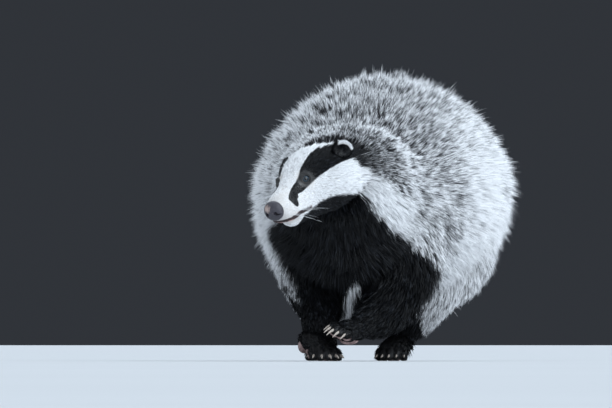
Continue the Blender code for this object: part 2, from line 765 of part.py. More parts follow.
def build():
    clear_scene()
    make_head()
    make_nose("nose")
    for side, left in (("left", 1), ("right", -1)):
        make_eye(f"eye_{side}", left)
        trim(make_ear(f"ear_{side}", left), [head_solid("cut", GAP)])
    trim(furred_solid("torso", CORE_SHARE), [head_solid("cut", GAP)])
    neighbours = [room("torso"), head_solid("cut", GAP), ear_room(-1), ear_room(1)]
    trim(furred_solid("neck", CORE_SHARE), neighbours)
    trim(furred_solid("tail", CORE_SHARE), [room("torso")])
    for name in LEGS:
        cutters = [room("torso")]
        if "fore" in name:
            cutters.append(room("neck"))
        trim(furred_solid(name, CORE_SHARE), cutters)
    for name in PAWS:
        leg = name.replace("paw_fore", "foreleg").replace("paw_hind", "hindleg")
        trim(make_paw(name), [room(leg)])
    chance = random.Random(COAT_SEED)
    for name in LOCKS:
        others = [surface_tree(item) for item in bpy.context.scene.objects if item.name != name]
        grow_locks(bpy.data.objects[name], chance, others)
    for item in bpy.context.scene.objects:
        shade_round(item)


build()
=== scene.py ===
"""A European badger in its winter coat, trotting towards the camera, as a life-size still model."""

import math

import bpy
import numpy as np
from mathutils import Matrix, Vector
from mathutils.bvhtree import BVHTree


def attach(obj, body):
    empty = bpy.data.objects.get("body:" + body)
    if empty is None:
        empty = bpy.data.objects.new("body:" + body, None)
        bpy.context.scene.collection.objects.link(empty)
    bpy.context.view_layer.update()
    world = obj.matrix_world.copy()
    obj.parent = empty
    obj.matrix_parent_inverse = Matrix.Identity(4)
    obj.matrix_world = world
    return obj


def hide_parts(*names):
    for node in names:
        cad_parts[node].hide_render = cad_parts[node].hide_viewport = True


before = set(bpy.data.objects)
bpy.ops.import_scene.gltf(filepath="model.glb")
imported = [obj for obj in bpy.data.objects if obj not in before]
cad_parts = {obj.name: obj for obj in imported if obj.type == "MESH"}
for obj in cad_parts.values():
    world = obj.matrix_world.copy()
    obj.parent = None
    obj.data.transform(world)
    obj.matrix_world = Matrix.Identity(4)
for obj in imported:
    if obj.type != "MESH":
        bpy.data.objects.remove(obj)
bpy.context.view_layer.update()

# Camera
# A long lens just above the ground, ten degrees to the left of the animal's front. The picture is
# 612 by 408 pixels, and a pixel is 1.25 mm at the middle of the animal.
PIXEL = 0.00125
PICTURE_WIDTH = 612 * PIXEL
CAMERA_TURN = math.radians(10)
CAMERA_AWAY = 22.0
CAMERA_HEIGHT = 0.022
AIM_AHEAD = 0.2  # the plane that the picture's scale holds for, in front of the animal's middle
AIM_ACROSS = -0.08325  # where the middle of the picture lies, along the picture and above the floor
AIM_HEIGHT = 0.1965

picture_right = Vector((math.cos(CAMERA_TURN), math.sin(CAMERA_TURN), 0))
towards_camera = Vector((math.sin(CAMERA_TURN), -math.cos(CAMERA_TURN), 0))
aim = picture_right * AIM_ACROSS + towards_camera * AIM_AHEAD + Vector((0, 0, AIM_HEIGHT))
camera = bpy.data.objects.new("camera", bpy.data.cameras.new("camera"))
bpy.context.scene.collection.objects.link(camera)
camera.location = picture_right * AIM_ACROSS + towards_camera * CAMERA_AWAY + Vector((0, 0, CAMERA_HEIGHT))
camera.rotation_euler = (aim - camera.location).to_track_quat("-Z", "Y").to_euler()
camera.data.lens = camera.data.sensor_width * (CAMERA_AWAY - AIM_AHEAD) / PICTURE_WIDTH
camera.data.clip_end = 500
bpy.context.scene.camera = camera

# Skin of the trunk, tail and legs
# The hide under the long coat. It is lofted along each part of the body through the sections that the
# solids have, without the depth of the coat: x, y, z of the centre, half width, rise, drop, coat.
BODY = {
    "torso": (
        (0.003, -0.228, 0.165, 0.030, 0.028, 0.034, 0.020),
        (0.002, -0.206, 0.169, 0.054, 0.050, 0.058, 0.024),
        (0.001, -0.172, 0.176, 0.075, 0.071, 0.080, 0.028),
        (0.000, -0.120, 0.183, 0.096, 0.087, 0.094, 0.032),
        (0.000, -0.045, 0.190, 0.108, 0.109, 0.099, 0.040),
        (0.000, 0.040, 0.193, 0.115, 0.126, 0.099, 0.044),
        (0.000, 0.125, 0.193, 0.115, 0.124, 0.094, 0.045),
        (0.000, 0.195, 0.190, 0.098, 0.100, 0.084, 0.040),
        (0.000, 0.240, 0.186, 0.068, 0.070, 0.062, 0.032),
        (0.000, 0.262, 0.182, 0.036, 0.038, 0.034, 0.024),
    ),
    "neck": (
        (0.004, -0.262, 0.231, 0.053, 0.043, 0.050, 0.013),
        (0.002, -0.230, 0.223, 0.061, 0.052, 0.062, 0.026),
        (0.001, -0.190, 0.212, 0.065, 0.058, 0.066, 0.033),
        (0.002, -0.150, 0.200, 0.070, 0.062, 0.070, 0.034),
    ),
    "tail": (
        (0.000, 0.225, 0.205, 0.024, 0.024, 0.022, 0.020),
        (0.000, 0.268, 0.200, 0.020, 0.019, 0.018, 0.026),
        (0.003, 0.312, 0.178, 0.016, 0.015, 0.014, 0.030),
        (0.006, 0.346, 0.142, 0.012, 0.011, 0.011, 0.030),
        (0.008, 0.366, 0.104, 0.008, 0.007, 0.007, 0.024),
    ),
    "foreleg_right": (
        (-0.044, -0.130, 0.185, 0.044, 0.052, 0.052, 0.016),
        (-0.054, -0.124, 0.135, 0.039, 0.046, 0.046, 0.015),
        (-0.051, -0.130, 0.098, 0.031, 0.035, 0.035, 0.012),
        (-0.041, -0.152, 0.066, 0.022, 0.023, 0.023, 0.008),
        (-0.037, -0.168, 0.040, 0.020, 0.019, 0.019, 0.005),
    ),
    "foreleg_left": (
        (0.052, -0.135, 0.180, 0.044, 0.054, 0.054, 0.016),
        (0.064, -0.140, 0.132, 0.040, 0.048, 0.048, 0.016),
        (0.065, -0.160, 0.092, 0.032, 0.035, 0.035, 0.014),
        (0.047, -0.188, 0.061, 0.025, 0.025, 0.025, 0.011),
        (0.026, -0.206, 0.045, 0.019, 0.017, 0.017, 0.005),
    ),
    "hindleg_right": (
        (-0.062, 0.120, 0.180, 0.052, 0.072, 0.072, 0.022),
        (-0.082, 0.118, 0.132, 0.048, 0.064, 0.064, 0.018),
        (-0.094, 0.142, 0.096, 0.032, 0.039, 0.039, 0.013),
        (-0.098, 0.192, 0.066, 0.020, 0.021, 0.021, 0.008),
        (-0.099, 0.218, 0.046, 0.016, 0.016, 0.016, 0.005),
    ),
    "hindleg_left": (
        (0.062, 0.110, 0.180, 0.052, 0.072, 0.072, 0.022),
        (0.078, 0.080, 0.132, 0.046, 0.060, 0.060, 0.016),
        (0.068, 0.062, 0.096, 0.031, 0.037, 0.037, 0.014),
        (0.044, 0.078, 0.062, 0.021, 0.023, 0.023, 0.014),
        (0.026, 0.088, 0.040, 0.016, 0.016, 0.016, 0.005),
    ),
}
BODY_SECTIONS = 40
BODY_SIDES = 48
BODY_VOXEL = 0.0035


def unit(vectors):
    """Each row at length one."""
    vectors = np.asarray(vectors, float)
    return vectors / np.maximum(np.linalg.norm(vectors, axis=-1, keepdims=True), 1e-12)


def read_between(table, count):
    """Rows at even steps along a smooth curve through the table's rows."""
    rows = np.array(table, float)
    rows = np.vstack([2 * rows[0] - rows[1], rows, 2 * rows[-1] - rows[-2]])
    steps = np.linspace(0, len(table) - 1, count)
    i = np.minimum(steps.astype(int), len(table) - 2)
    f = (steps - i)[:, None]
    a, b, c, d = (rows[i + k] for k in range(4))
    return 0.5 * (2 * b + (c - a) * f + (2 * a - 5 * b + 4 * c - d) * f**2 + (3 * b - a - 3 * c + d) * f**3)


def path_through(rows, hint=(1, 0, 0)):
    """Sections square to a path, with hint to their side. Rows: centre, half width, rise, drop, coat."""
    centre = rows[:, :3]
    ahead = unit(np.gradient(centre, axis=0))
    up = unit(np.cross(hint, ahead))
    sizes = dict(zip(("wide", "rise", "drop", "coat"), rows[:, 3:].T))
    return {"centre": centre, "ahead": ahead, "up": up, "side": np.cross(ahead, up), "power": 2.0, **sizes}


def loft(path, sides, dome=0.5, steps=5):
    """Points and faces of a closed tube through a path's sections, with a dome at each end."""
    sizes = np.stack([path["wide"], path["rise"], path["drop"]], 1)
    centre, side, up = path["centre"], path["side"], path["up"]
    for end, out in ((0, -path["ahead"][0]), (-1, path["ahead"][-1])):
        turn = np.radians(np.linspace(0, 88, steps + 1)[1:])
        if end == 0:
            turn = turn[::-1]
        reach = dome * sizes[end].min()
        cap = (
            centre[end] + out * reach * np.sin(turn)[:, None],
            np.repeat(side[[end]], steps, 0),
            np.repeat(up[[end]], steps, 0),
            sizes[end] * np.cos(turn)[:, None],
        )
        whole = zip(cap, (centre, side, up, sizes)) if end == 0 else zip((centre, side, up, sizes), cap)
        centre, side, up, sizes = (np.vstack(pair) for pair in whole)
    angle = np.linspace(0, 2 * np.pi, sides, endpoint=False)
    c, s = (np.sign(wave) * np.abs(wave) ** (2 / path["power"]) for wave in (np.cos(angle), np.sin(angle)))
    height = np.where(s > 0, sizes[:, 1:2], sizes[:, 2:3]) * s
    points = centre[:, None] + side[:, None] * (sizes[:, :1] * c)[..., None] + up[:, None] * height[..., None]
    count = len(centre)
    corner = np.arange(count * sides).reshape(count, sides)
    a, b = corner[:-1], np.roll(corner, -1, 1)[:-1]
    c, d = np.roll(corner, -1, 1)[1:], corner[1:]
    quads = np.stack([a, d, c, b], -1).reshape(-1, 4).tolist()
    ends = [corner[0].tolist(), corner[-1][::-1].tolist()]
    return points.reshape(-1, 3), quads + ends


def object_from(name, points, faces):
    """A mesh object from points and faces."""
    mesh = bpy.data.meshes.new(name)
    mesh.from_pydata(np.asarray(points).tolist(), [], faces)
    made = bpy.data.objects.new(name, mesh)
    bpy.context.scene.collection.objects.link(made)
    return made


def settle(target):
    """Applies the target's modifiers."""
    graph = bpy.context.evaluated_depsgraph_get()
    mesh = bpy.data.meshes.new_from_object(target.evaluated_get(graph))
    target.modifiers.clear()
    target.data = mesh


def joined(solids):
    """Points and faces of several solids as one mesh."""
    points, faces, start = [], [], 0
    for part_points, part_faces in solids:
        points.append(part_points)
        faces += [[k + start for k in face] for face in part_faces]
        start += len(part_points)
    return np.vstack(points), faces


def grown_together(name, solids, voxel, smoothing):
    """One closed surface round all these solids, with its creases softened."""
    made = object_from(name, *joined(solids))
    remesh = made.modifiers.new("grown together", "REMESH")
    remesh.mode = "VOXEL"
    remesh.voxel_size = voxel
    soften = made.modifiers.new("softened", "SMOOTH")
    soften.iterations = smoothing
    settle(made)
    return made


def cut(target, cutter, operation="DIFFERENCE"):
    """A Boolean between two closed solids, of which the second is then removed."""
    modifier = target.modifiers.new("cut", "BOOLEAN")
    modifier.operation = operation
    modifier.solver = "MANIFOLD"
    modifier.object = cutter
    settle(target)
    bpy.data.objects.remove(cutter)


paths = {name: path_through(read_between(rows, BODY_SECTIONS)) for name, rows in BODY.items()}
skin = grown_together("skin", [loft(path, BODY_SIDES) for path in paths.values()], BODY_VOXEL, 6)

# Skin of the head
# A long wedge from the nose to the broad crown, with the swell of the whisker pads, a hollow before each
# eye, brows, cheek muscles and a low crest. Its sections: distance behind the nose, half width, rise, drop.
HEAD = (
    (0.0105, 0.0128, 0.0108, 0.0108),
    (0.020, 0.0174, 0.0164, 0.0232),
    (0.036, 0.0212, 0.0216, 0.0312),
    (0.055, 0.0260, 0.0298, 0.0325),
    (0.075, 0.0360, 0.0402, 0.0345),
    (0.096, 0.0480, 0.0475, 0.0380),
    (0.120, 0.0535, 0.0500, 0.0410),
    (0.143, 0.0545, 0.0470, 0.0440),
    (0.160, 0.0540, 0.0430, 0.0450),
)
HEAD_COAT = (
    (0.0, 0.0008),
    (0.03, 0.0012),
    (0.055, 0.0020),
    (0.08, 0.0036),
    (0.10, 0.0060),
    (0.12, 0.0110),
    (0.14, 0.0170),
    (0.17, 0.0240),
)
HEAD_POWER = 2.25
HEAD_INSET = 0.85  # share of its coat that the skin lies below the head's outline
HEAD_VOXEL = 0.0010
NOSE_TIP = Vector((-0.0586, -0.4022, 0.1836))
HEAD_TURNED = (
    Matrix.Rotation(math.radians(-25), 3, "Z")
    @ Matrix.Rotation(math.radians(20), 3, "X")
    @ Matrix.Rotation(math.radians(-6), 3, "Y")
)
# Swellings and hollows on both sides: place (out, behind the nose, up), radius, height.
FORMS = (
    ((0.0150, 0.024, -0.0120), 0.0100, 0.0022),
    ((0.0190, 0.047, 0.0120), 0.0090, -0.0020),
    ((0.0150, 0.067, 0.0300), 0.0085, 0.0016),
    ((0.0290, 0.066, 0.0080), 0.0090, 0.0010),
    ((0.0470, 0.104, -0.0060), 0.0220, 0.0028),
    ((0.0000, 0.112, 0.0500), 0.0160, 0.0016),
    ((0.0000, 0.040, 0.0240), 0.0100, -0.0008),
    ((0.0430, 0.107, 0.0310), 0.0130, 0.0055),
)
# The lower jaw is narrower than the muzzle and ends behind it.
CHIN_NARROW = 0.42
CHIN_BACK = 0.0075
head_axes = np.array(HEAD_TURNED).T  # rows: its left, backward and up


def fade(low, high, value):
    """Rises smoothly from 0 at low to 1 at high."""
    share = np.clip((value - low) / (high - low), 0, 1)
    return share * share * (3 - 2 * share)


def head_place(points):
    """Out to the left, behind the nose and above the head's axis."""
    return (np.asarray(points) - np.array(NOSE_TIP)) @ head_axes.T


def head_point(out, back, up):
    return NOSE_TIP + HEAD_TURNED @ Vector((out, back, up))


def shaped(points):
    """The head's points with its swellings and hollows."""
    place = head_place(points)
    middle = np.stack([np.zeros(len(place)), place[:, 1], np.zeros(len(place))], 1)
    outward = unit(place - middle)
    moved = place.copy()
    for (out, back, up), radius, height in FORMS:
        for left in (-1, 1) if out else (1,):
            away = np.linalg.norm(place - (left * out, back, up), axis=1)
            moved += outward * (height * np.exp(-((away / radius) ** 2)))[:, None]
    chin = fade(-0.0155, -0.0205, place[:, 2]) * fade(0.052, 0.016, place[:, 1])
    moved[:, 0] *= 1 - CHIN_NARROW * chin
    moved[:, 1] += CHIN_BACK * chin * fade(0.036, 0.014, place[:, 1])
    return moved @ head_axes + np.array(NOSE_TIP)


def head_path(inset):
    """The head's sections. inset is the share of its coat that is left off."""
    rows = read_between(HEAD, BODY_SECTIONS)
    coat = np.interp(rows[:, 0], *np.array(HEAD_COAT).T)
    count = len(rows)
    return {
        "centre": np.array(NOSE_TIP) + rows[:, :1] * head_axes[1],
        "ahead": np.repeat(head_axes[[1]], count, 0),
        "side": np.repeat(head_axes[[0]], count, 0),
        "up": np.repeat(head_axes[[2]], count, 0),
        "power": HEAD_POWER,
        "wide": rows[:, 1] - coat * inset,
        "rise": rows[:, 2] - coat * inset,
        "drop": rows[:, 3] - coat * inset,
        "coat": coat,
    }


def ball(centre, axes, sizes, segments=48, rings=32):
    """Points and faces of an ellipsoid with its half sizes along three axes."""
    path = {
        "centre": np.array(centre) + np.linspace(-1, 1, 3)[:, None] * 1e-4 * np.array(axes[1]),
        "ahead": np.repeat([axes[1]], 3, 0),
        "side": np.repeat([axes[0]], 3, 0),
        "up": np.repeat([axes[2]], 3, 0),
        "power": 2.0,
    }
    path |= {key: np.full(3, float(sizes[k])) for key, k in (("wide", 0), ("rise", 2), ("drop", 2))}
    return loft(path, segments, sizes[1] / min(sizes[0], sizes[2]), rings // 2)


def box(corners):
    """Points and faces of a block from its corners: the lower four in order, then the upper four."""
    faces = [[3, 2, 1, 0], [4, 5, 6, 7], [1, 5, 4, 0], [2, 6, 5, 1], [3, 7, 6, 2], [0, 4, 7, 3]]
    return np.array(corners), faces


paths["head"] = head_path(HEAD_INSET)
head_points, head_faces = loft(paths["head"], 96, 0.3)
head_solids = [(shaped(head_points), head_faces)]

# Mouth
# A narrow slit from under the nose back along the muzzle. The rims of the lips are bare, and thin tubes
# along the slit make them. The inside is painted very dark red, as shade in the slit.
MOUTH_FRONT_DROP = 0.0212
MOUTH_CORNER_BACK = 0.034
MOUTH_CORNER_DROP = 0.0158
MOUTH_OPEN = 0.0042
NOSE_BED = (0.0134, 0.0082, 0.0123)  # the hollow that the nose's leather fills
LIP_RADIUS = 0.0013
LIP_STEPS = 24
LIP_TURN = math.radians(100)  # of the corners from the front, round a point in the mouth


def mouth_drop(back):
    """How far the mouth line is below the head's axis."""
    share = np.clip(back / MOUTH_CORNER_BACK, 0, 1)
    return MOUTH_FRONT_DROP + (MOUTH_CORNER_DROP - MOUTH_FRONT_DROP) * share


def lip_line(surface, rise):
    """Points of one lip on the head, from corner to corner round the front, and their places in it."""
    k = np.linspace(-1, 1, 2 * LIP_STEPS + 1)
    slope = (MOUTH_FRONT_DROP - MOUTH_CORNER_DROP - rise) / MOUTH_CORNER_BACK
    from_back = MOUTH_CORNER_BACK * 0.8
    points = []
    for place in k:
        turn = place * LIP_TURN
        start = head_point(0, from_back, -mouth_drop(from_back) + rise * 0.2)
        climb = -slope * math.cos(turn)
        way = HEAD_TURNED @ Vector((math.sin(turn), -math.cos(turn), climb))
        points.append(np.array(surface.ray_cast(start, way)[0]))
    return np.array(points), k


def tube(points, radius, sides=12, hint=(0, 0, 1)):
    """Points and faces of a round tube along points. radius may differ from point to point."""
    size = np.broadcast_to(radius, len(points))
    rows = np.column_stack([points, size, size, size, size])
    return loft(path_through(rows, hint), sides, 0.9, 3)


# Ears
# Small round ears, low on the back corners of the crown. Each is a thin cup, which opens forward and
# outward on the left and lies back on the right.
EAR_PLACE = {1: (0.0430, 0.115, 0.0300), -1: (-0.0462, 0.116, 0.0210)}
EAR_RISE = 0.0082
EAR_SIZE = (0.0125, 0.0062, 0.0110)
EAR_SHARE = {1: 1.0, -1: 0.8}  # the right one is folded back
EAR_WALL = 0.0022
EAR_WAY = {
    1: ((0.42, 0.18, 0.88), (0.72, -0.68, 0.0)),
    -1: ((-0.15, 0.85, 0.45), (-0.95, -0.25, 0.15)),
}


def ear_frame(left):
    """The middle of an ear and its axes: across, the way that the cup faces, and along the ear."""
    along, facing = ((HEAD_TURNED @ Vector(way)).normalized() for way in EAR_WAY[left])
    side = facing.cross(along).normalized()
    middle = head_point(*EAR_PLACE[left]) + along * EAR_RISE * EAR_SHARE[left]
    return middle, (side, along.cross(side), along)


ears = {left: ear_frame(left) for left in (1, -1)}
for left, (middle, axes) in ears.items():
    across, through, tall = (size * EAR_SHARE[left] for size in EAR_SIZE)
    shell = object_from("ear", *ball(middle, axes, (across, through, tall)))
    inner = middle + axes[1] * through + axes[2] * 0.0010
    sizes = (across - EAR_WALL, through * 1.0, tall - EAR_WALL)
    cut(shell, object_from("hollow", *ball(inner, axes, sizes)))
    head_solids.append(
        (
            np.array([v.co for v in shell.data.vertices]),
            [list(face.vertices) for face in shell.data.polygons],
        )
    )
    bpy.data.objects.remove(shell)

# Lids
# A low swelling round each eye, with an almond opening. The rim of each lid is a thin bare tube that lies
# on the eyeball.
EYE_RADIUS = 0.0058
EYE_PLACE = (0.0192, 0.0620, 0.0206)
EYE_WAY = (0.80, -0.55, 0.25)
EYE_OPENING = (0.0050, 0.0042)  # half length and half height
LID_THICK = 0.0013
LID_RIM = 0.0006


def eye_frame(left):
    """The middle of an eye and its axes: towards the nose, outward and up."""
    outward = (HEAD_TURNED @ Vector((left * EYE_WAY[0], *EYE_WAY[1:]))).normalized()
    side = outward.cross(HEAD_TURNED @ Vector((0, 0, 1))).normalized()
    return head_point(left * EYE_PLACE[0], *EYE_PLACE[1:]), (side, outward, side.cross(outward))


def almond(left, radius, share=1.0, count=48):
    """Points of the lids' rim on a ball of this radius round the eye."""
    centre, (side, outward, up) = (np.array(value) for value in eye_frame(left))
    turn = np.linspace(0, 2 * np.pi, count)
    across = EYE_OPENING[0] * share * np.cos(turn)
    over = EYE_OPENING[1] * share * np.sin(turn) * (1 - 0.35 * np.abs(np.cos(turn)) ** 3)
    over -= 0.0012 * across / EYE_OPENING[0] * left * np.sign(np.dot(side, -head_axes[1])) * share
    out = np.sqrt(radius**2 - across**2 - over**2)
    return centre + across[:, None] * side + out[:, None] * outward + over[:, None] * up


eyes = {left: eye_frame(left) for left in (1, -1)}
for centre, axes in eyes.values():
    head_solids.append(ball(centre, axes, [EYE_RADIUS + LID_THICK] * 3))

head = grown_together("head", head_solids, HEAD_VOXEL, 3)
surface = BVHTree.FromPolygons(
    [v.co for v in head.data.vertices],
    [face.vertices for face in head.data.polygons],
)
mouth_lips = []
for rise in (MOUTH_OPEN, 0.0):
    line, k = lip_line(surface, rise)
    mouth_lips.append(line)
jaw_gap = [
    head_point(out, back, -mouth_drop(back) + rise)
    for front_rise, back_rise in ((0.0, 0.0), (MOUTH_OPEN, 0.0003))
    for out, back, rise in (
        (-0.05, 0.004, front_rise),
        (0.05, 0.004, front_rise),
        (0.05, MOUTH_CORNER_BACK, back_rise),
        (-0.05, MOUTH_CORNER_BACK, back_rise),
    )
]
cut(head, object_from("slit", *box(jaw_gap)))
cut(head, object_from("nose bed", *ball(head_point(0, 0.0085, 0), head_axes, NOSE_BED)))
for line in mouth_lips:
    rim = tube(line, LIP_RADIUS * (1.0 - 0.55 * np.abs(k) ** 2), 10, head_axes[2])
    cut(head, object_from("lip", *rim), "UNION")
for left, (centre, axes) in eyes.items():
    cut(head, object_from("socket", *ball(centre, axes, [EYE_RADIUS + 0.0003] * 3)))
    opening = (EYE_OPENING[0], EYE_RADIUS, EYE_OPENING[1])
    cut(head, object_from("opening", *ball(centre + axes[1] * EYE_RADIUS, axes, opening)))
cut(skin, head, "UNION")
for left in eyes:
    rim = almond(left, EYE_RADIUS + 0.0007)
    loop = tube(rim, LID_RIM, 8, eyes[left][1][1])
    cut(skin, object_from("lid", *loop), "UNION")


# Skin of the paws
# Broad palms with five short toes. Three stand flat, and the left forepaw is lifted and hangs. For each:
# heel, knuckles, way of the toes, way of the paw's back.
PAWS = {
    "paw_fore_right": (
        (-0.050, -0.166, 0.026),
        (-0.028, -0.199, 0.0160),
        (0.47, -0.88, -0.10),
        (0.38, 0.05, 1),
    ),
    "paw_fore_left": (
        (0.027, -0.206, 0.042),
        (0.003, -0.224, 0.037),
        (-0.43, -0.90, 0.02),
        (0.37, -0.16, 0.92),
    ),
    "paw_hind_right": ((-0.099, 0.226, 0.040), (-0.095, 0.178, 0.0155), (0.10, -1, -0.06), (0, -0.1, 1)),
    "paw_hind_left": ((0.022, 0.092, 0.024), (0.020, 0.040, 0.0155), (-0.06, -1, -0.06), (0, 0, 1)),
}
LIFTED_PAW = "paw_fore_left"
PAW_HALF_WIDTH = {
    "paw_fore_right": 0.0190,
    "paw_fore_left": 0.0168,
    "paw_hind_right": 0.0175,
    "paw_hind_left": 0.0175,
}
PAW_HALF_THICK = 0.0105
PAW_COAT = 0.0035
PAW_VOXEL = 0.0011
PALM_FORM = ((0, 0.80, 1.0), (0.35, 0.86, 1.15), (0.7, 0.96, 1.08), (1.0, 1.0, 0.92))
TOES = 5
TOE_LENGTH = {"fore": 0.021, "hind": 0.019}
TOE_RADIUS = 0.0056
TOE_SPREAD = {True: 0.10, False: 0.28}  # of the lifted paw and of the others
TOE_ARCH = 0.0022
PAD_SWELL = 1.15
STANDING_TOE = 0.0048
TOE_FORM = ((0, 0.95), (0.4, 0.9), (0.75, 1.0), (1.0, 0.8))


def paw_frame(name):
    """A paw's heel and knuckles, and its axes: across, along the toes and out of its back."""
    heel, knuckles, toe, dorsal = (np.array(row, float) for row in PAWS[name])
    toe = unit(toe)
    dorsal = unit(dorsal - toe * dorsal.dot(toe))
    return heel, knuckles, (np.cross(toe, dorsal), toe, dorsal)


def toe_line(name, place):
    """A toe's root and tip. place runs from -1 at one side of the paw to 1 at the other."""
    heel, knuckles, (across, toe, dorsal) = paw_frame(name)
    kind = "fore" if "fore" in name else "hind"
    reach = PAW_HALF_WIDTH[name] - TOE_RADIUS
    root = knuckles + across * reach * place - toe * TOE_RADIUS * abs(place) ** 1.5
    way = unit(toe + across * TOE_SPREAD[name == LIFTED_PAW] * place)
    tip = root + way * TOE_LENGTH[kind] * (1 - 0.16 * place**2)
    if name != LIFTED_PAW:
        tip[2] = STANDING_TOE
    return root, tip


for name in PAWS:
    heel, knuckles, (across, toe, dorsal) = paw_frame(name)
    wide = PAW_HALF_WIDTH[name]
    palm = [
        (*(heel + (knuckles - heel) * s), wide * w, PAW_HALF_THICK * t, PAW_HALF_THICK * t, 0)
        for s, w, t in PALM_FORM
    ]
    solids = [loft(path_through(read_between(palm, 12), -across), 40, 1.0)]
    for place in np.linspace(-1, 1, TOES):
        root, tip = toe_line(name, place)
        rows = []
        for share, swell in TOE_FORM:
            size = TOE_RADIUS * swell
            middle = root + (tip - root) * share + dorsal * TOE_ARCH * math.sin(math.pi * share)
            rows.append((*middle, size, size, size * PAD_SWELL, 0))
        solids.append(loft(path_through(read_between(rows, 12), -across), 24, 0.9))
    paw = grown_together(name + "_skin", solids, PAW_VOXEL, 3)
    cut(skin, paw, "UNION")
    tips = knuckles + (toe_line(name, 0)[1] - knuckles) * 1.1
    rows = [
        (*(heel + (knuckles - heel) * s), wide * w, 0.012 * t, 0.012 * t, PAW_COAT)
        for s, w, t in PALM_FORM
    ]
    rows.append((*tips, wide * 1.1, 0.007, 0.007, 0.0015))
    paths[name] = path_through(read_between(rows, BODY_SECTIONS), -across)

# Lie, depth and markings of the coat
# The hair grows backward along the trunk, down along the legs and hangs a little. Its markings are those of
# a badger: a white face with two black stripes through the eyes and ears, black throat, chest and legs, and
# grey sides where each hair is pale, then dark, then white at its tip. Each point of the skin knows them.
GRAVITY = 0.30
BLEND = 0.20
EYE_CLEAR = 0.0071
STRIPE_SOFT = 2.2  # degrees over which a stripe's edge fades
# Edges of the black stripe on the left: millimetres behind the nose, degrees round the head (90 is its top).
STRIPE_TOP = (
    (22.5, 18), (23.5, 28), (26, 38), (36, 52), (44, 57), (56, 61), (68, 69), (82, 72), (95, 73.6),
    (112, 72), (129, 67), (142, 65), (165, 62),
)
FAR_STRIPE_TOP = (
    (22.5, 20), (26.5, 42), (33, 62), (42, 68), (49, 64), (60, 58), (77, 54), (89, 57), (108, 63),
    (129, 62), (142, 62), (165, 60),
)
STRIPE_BOTTOM = (
    (22.5, 28), (24, 18), (26, 5), (28, -7), (31.7, -15), (34.5, -9), (35, 0), (35.6, 12), (38.5, 15),
    (40.5, 25), (49, 24), (56, 26.4), (69, 30), (78.5, 30.5), (90, 29.5), (107, 27.5), (126, 26.5),
    (165, 20),
)
CHEEK_BOTTOM = (
    (36, -100), (42.6, -52), (51, -43), (65, -25), (78, -16.5), (88, -16.5), (104, -21), (134, -35),
    (165, -44),
)
# On the front of the body, at each height: how far across the picture the black bib reaches, left and right.
BIB_LEFT = (
    (0.04, 0.056), (0.07, 0.060), (0.082, 0.072), (0.093, 0.076), (0.108, 0.083), (0.118, 0.080),
    (0.132, 0.066), (0.143, 0.048), (0.153, 0.036), (0.170, 0.0155), (0.186, -0.001), (0.204, -0.0136),
    (0.210, -0.031), (0.23, -0.060),
)
BIB_RIGHT = (
    (0.04, 0.030), (0.075, 0.034), (0.095, 0.039), (0.116, 0.045), (0.1275, 0.050), (0.144, 0.058),
    (0.160, 0.066), (0.172, 0.060), (0.185, 0.030), (0.210, -0.031), (0.23, -0.060),
)
# Height up to which the white of the cheeks runs on over the neck.
CHEEK_TOP = (
    (-0.030, 0.256), (-0.018, 0.242), (-0.007, 0.238), (0.0035, 0.235), (0.0155, 0.226), (0.045, 0.203),
)
# Round the trunk, from the belly (-90) to the back (90): share of white hair, and of the coat's depth.
TRUNK_WHITE = ((-90, 0.2), (-50, 0.60), (-20, 0.82), (10, 0.78), (35, 0.45), (60, 0.15), (90, 0.0))
TRUNK_DEPTH = ((-90, 0.80), (-45, 0.76), (-10, 1.00), (20, 1.08), (45, 1.04), (60, 0.97), (90, 0.97))


def read_at(rows, place):
    """Rows read at places between 0 and 1."""
    steps = place * (len(rows) - 1)
    i = np.minimum(steps.astype(int), len(rows) - 2)
    f = steps - i
    if rows.ndim > 1:
        f = f[:, None]
    return rows[i] * (1 - f) + rows[i + 1] * f


def place_on(path, points):
    """Points' places along a part, their angles round it in degrees and their shares of the way out."""
    away = np.stack([((points - centre) ** 2).sum(1) for centre in path["centre"]])
    nearest = away.argmin(0)
    step = np.linalg.norm(np.diff(path["centre"], axis=0), axis=1).mean()
    ahead = ((points - path["centre"][nearest]) * path["ahead"][nearest]).sum(1)
    along = np.clip((nearest + ahead / step) / (len(path["centre"]) - 1), 0, 1)
    local = points - read_at(path["centre"], along)
    out = (local * read_at(path["side"], along)).sum(1)
    up = (local * read_at(path["up"], along)).sum(1)
    beyond = (local * read_at(path["ahead"], along)).sum(1)
    wide = read_at(path["wide"], along)
    tall = np.where(up > 0, read_at(path["rise"], along), read_at(path["drop"], along))
    share = np.sqrt((out / wide) ** 2 + (up / tall) ** 2 + (2 * beyond / np.minimum(wide, tall)) ** 2)
    return along, np.degrees(np.arctan2(up, out)), share


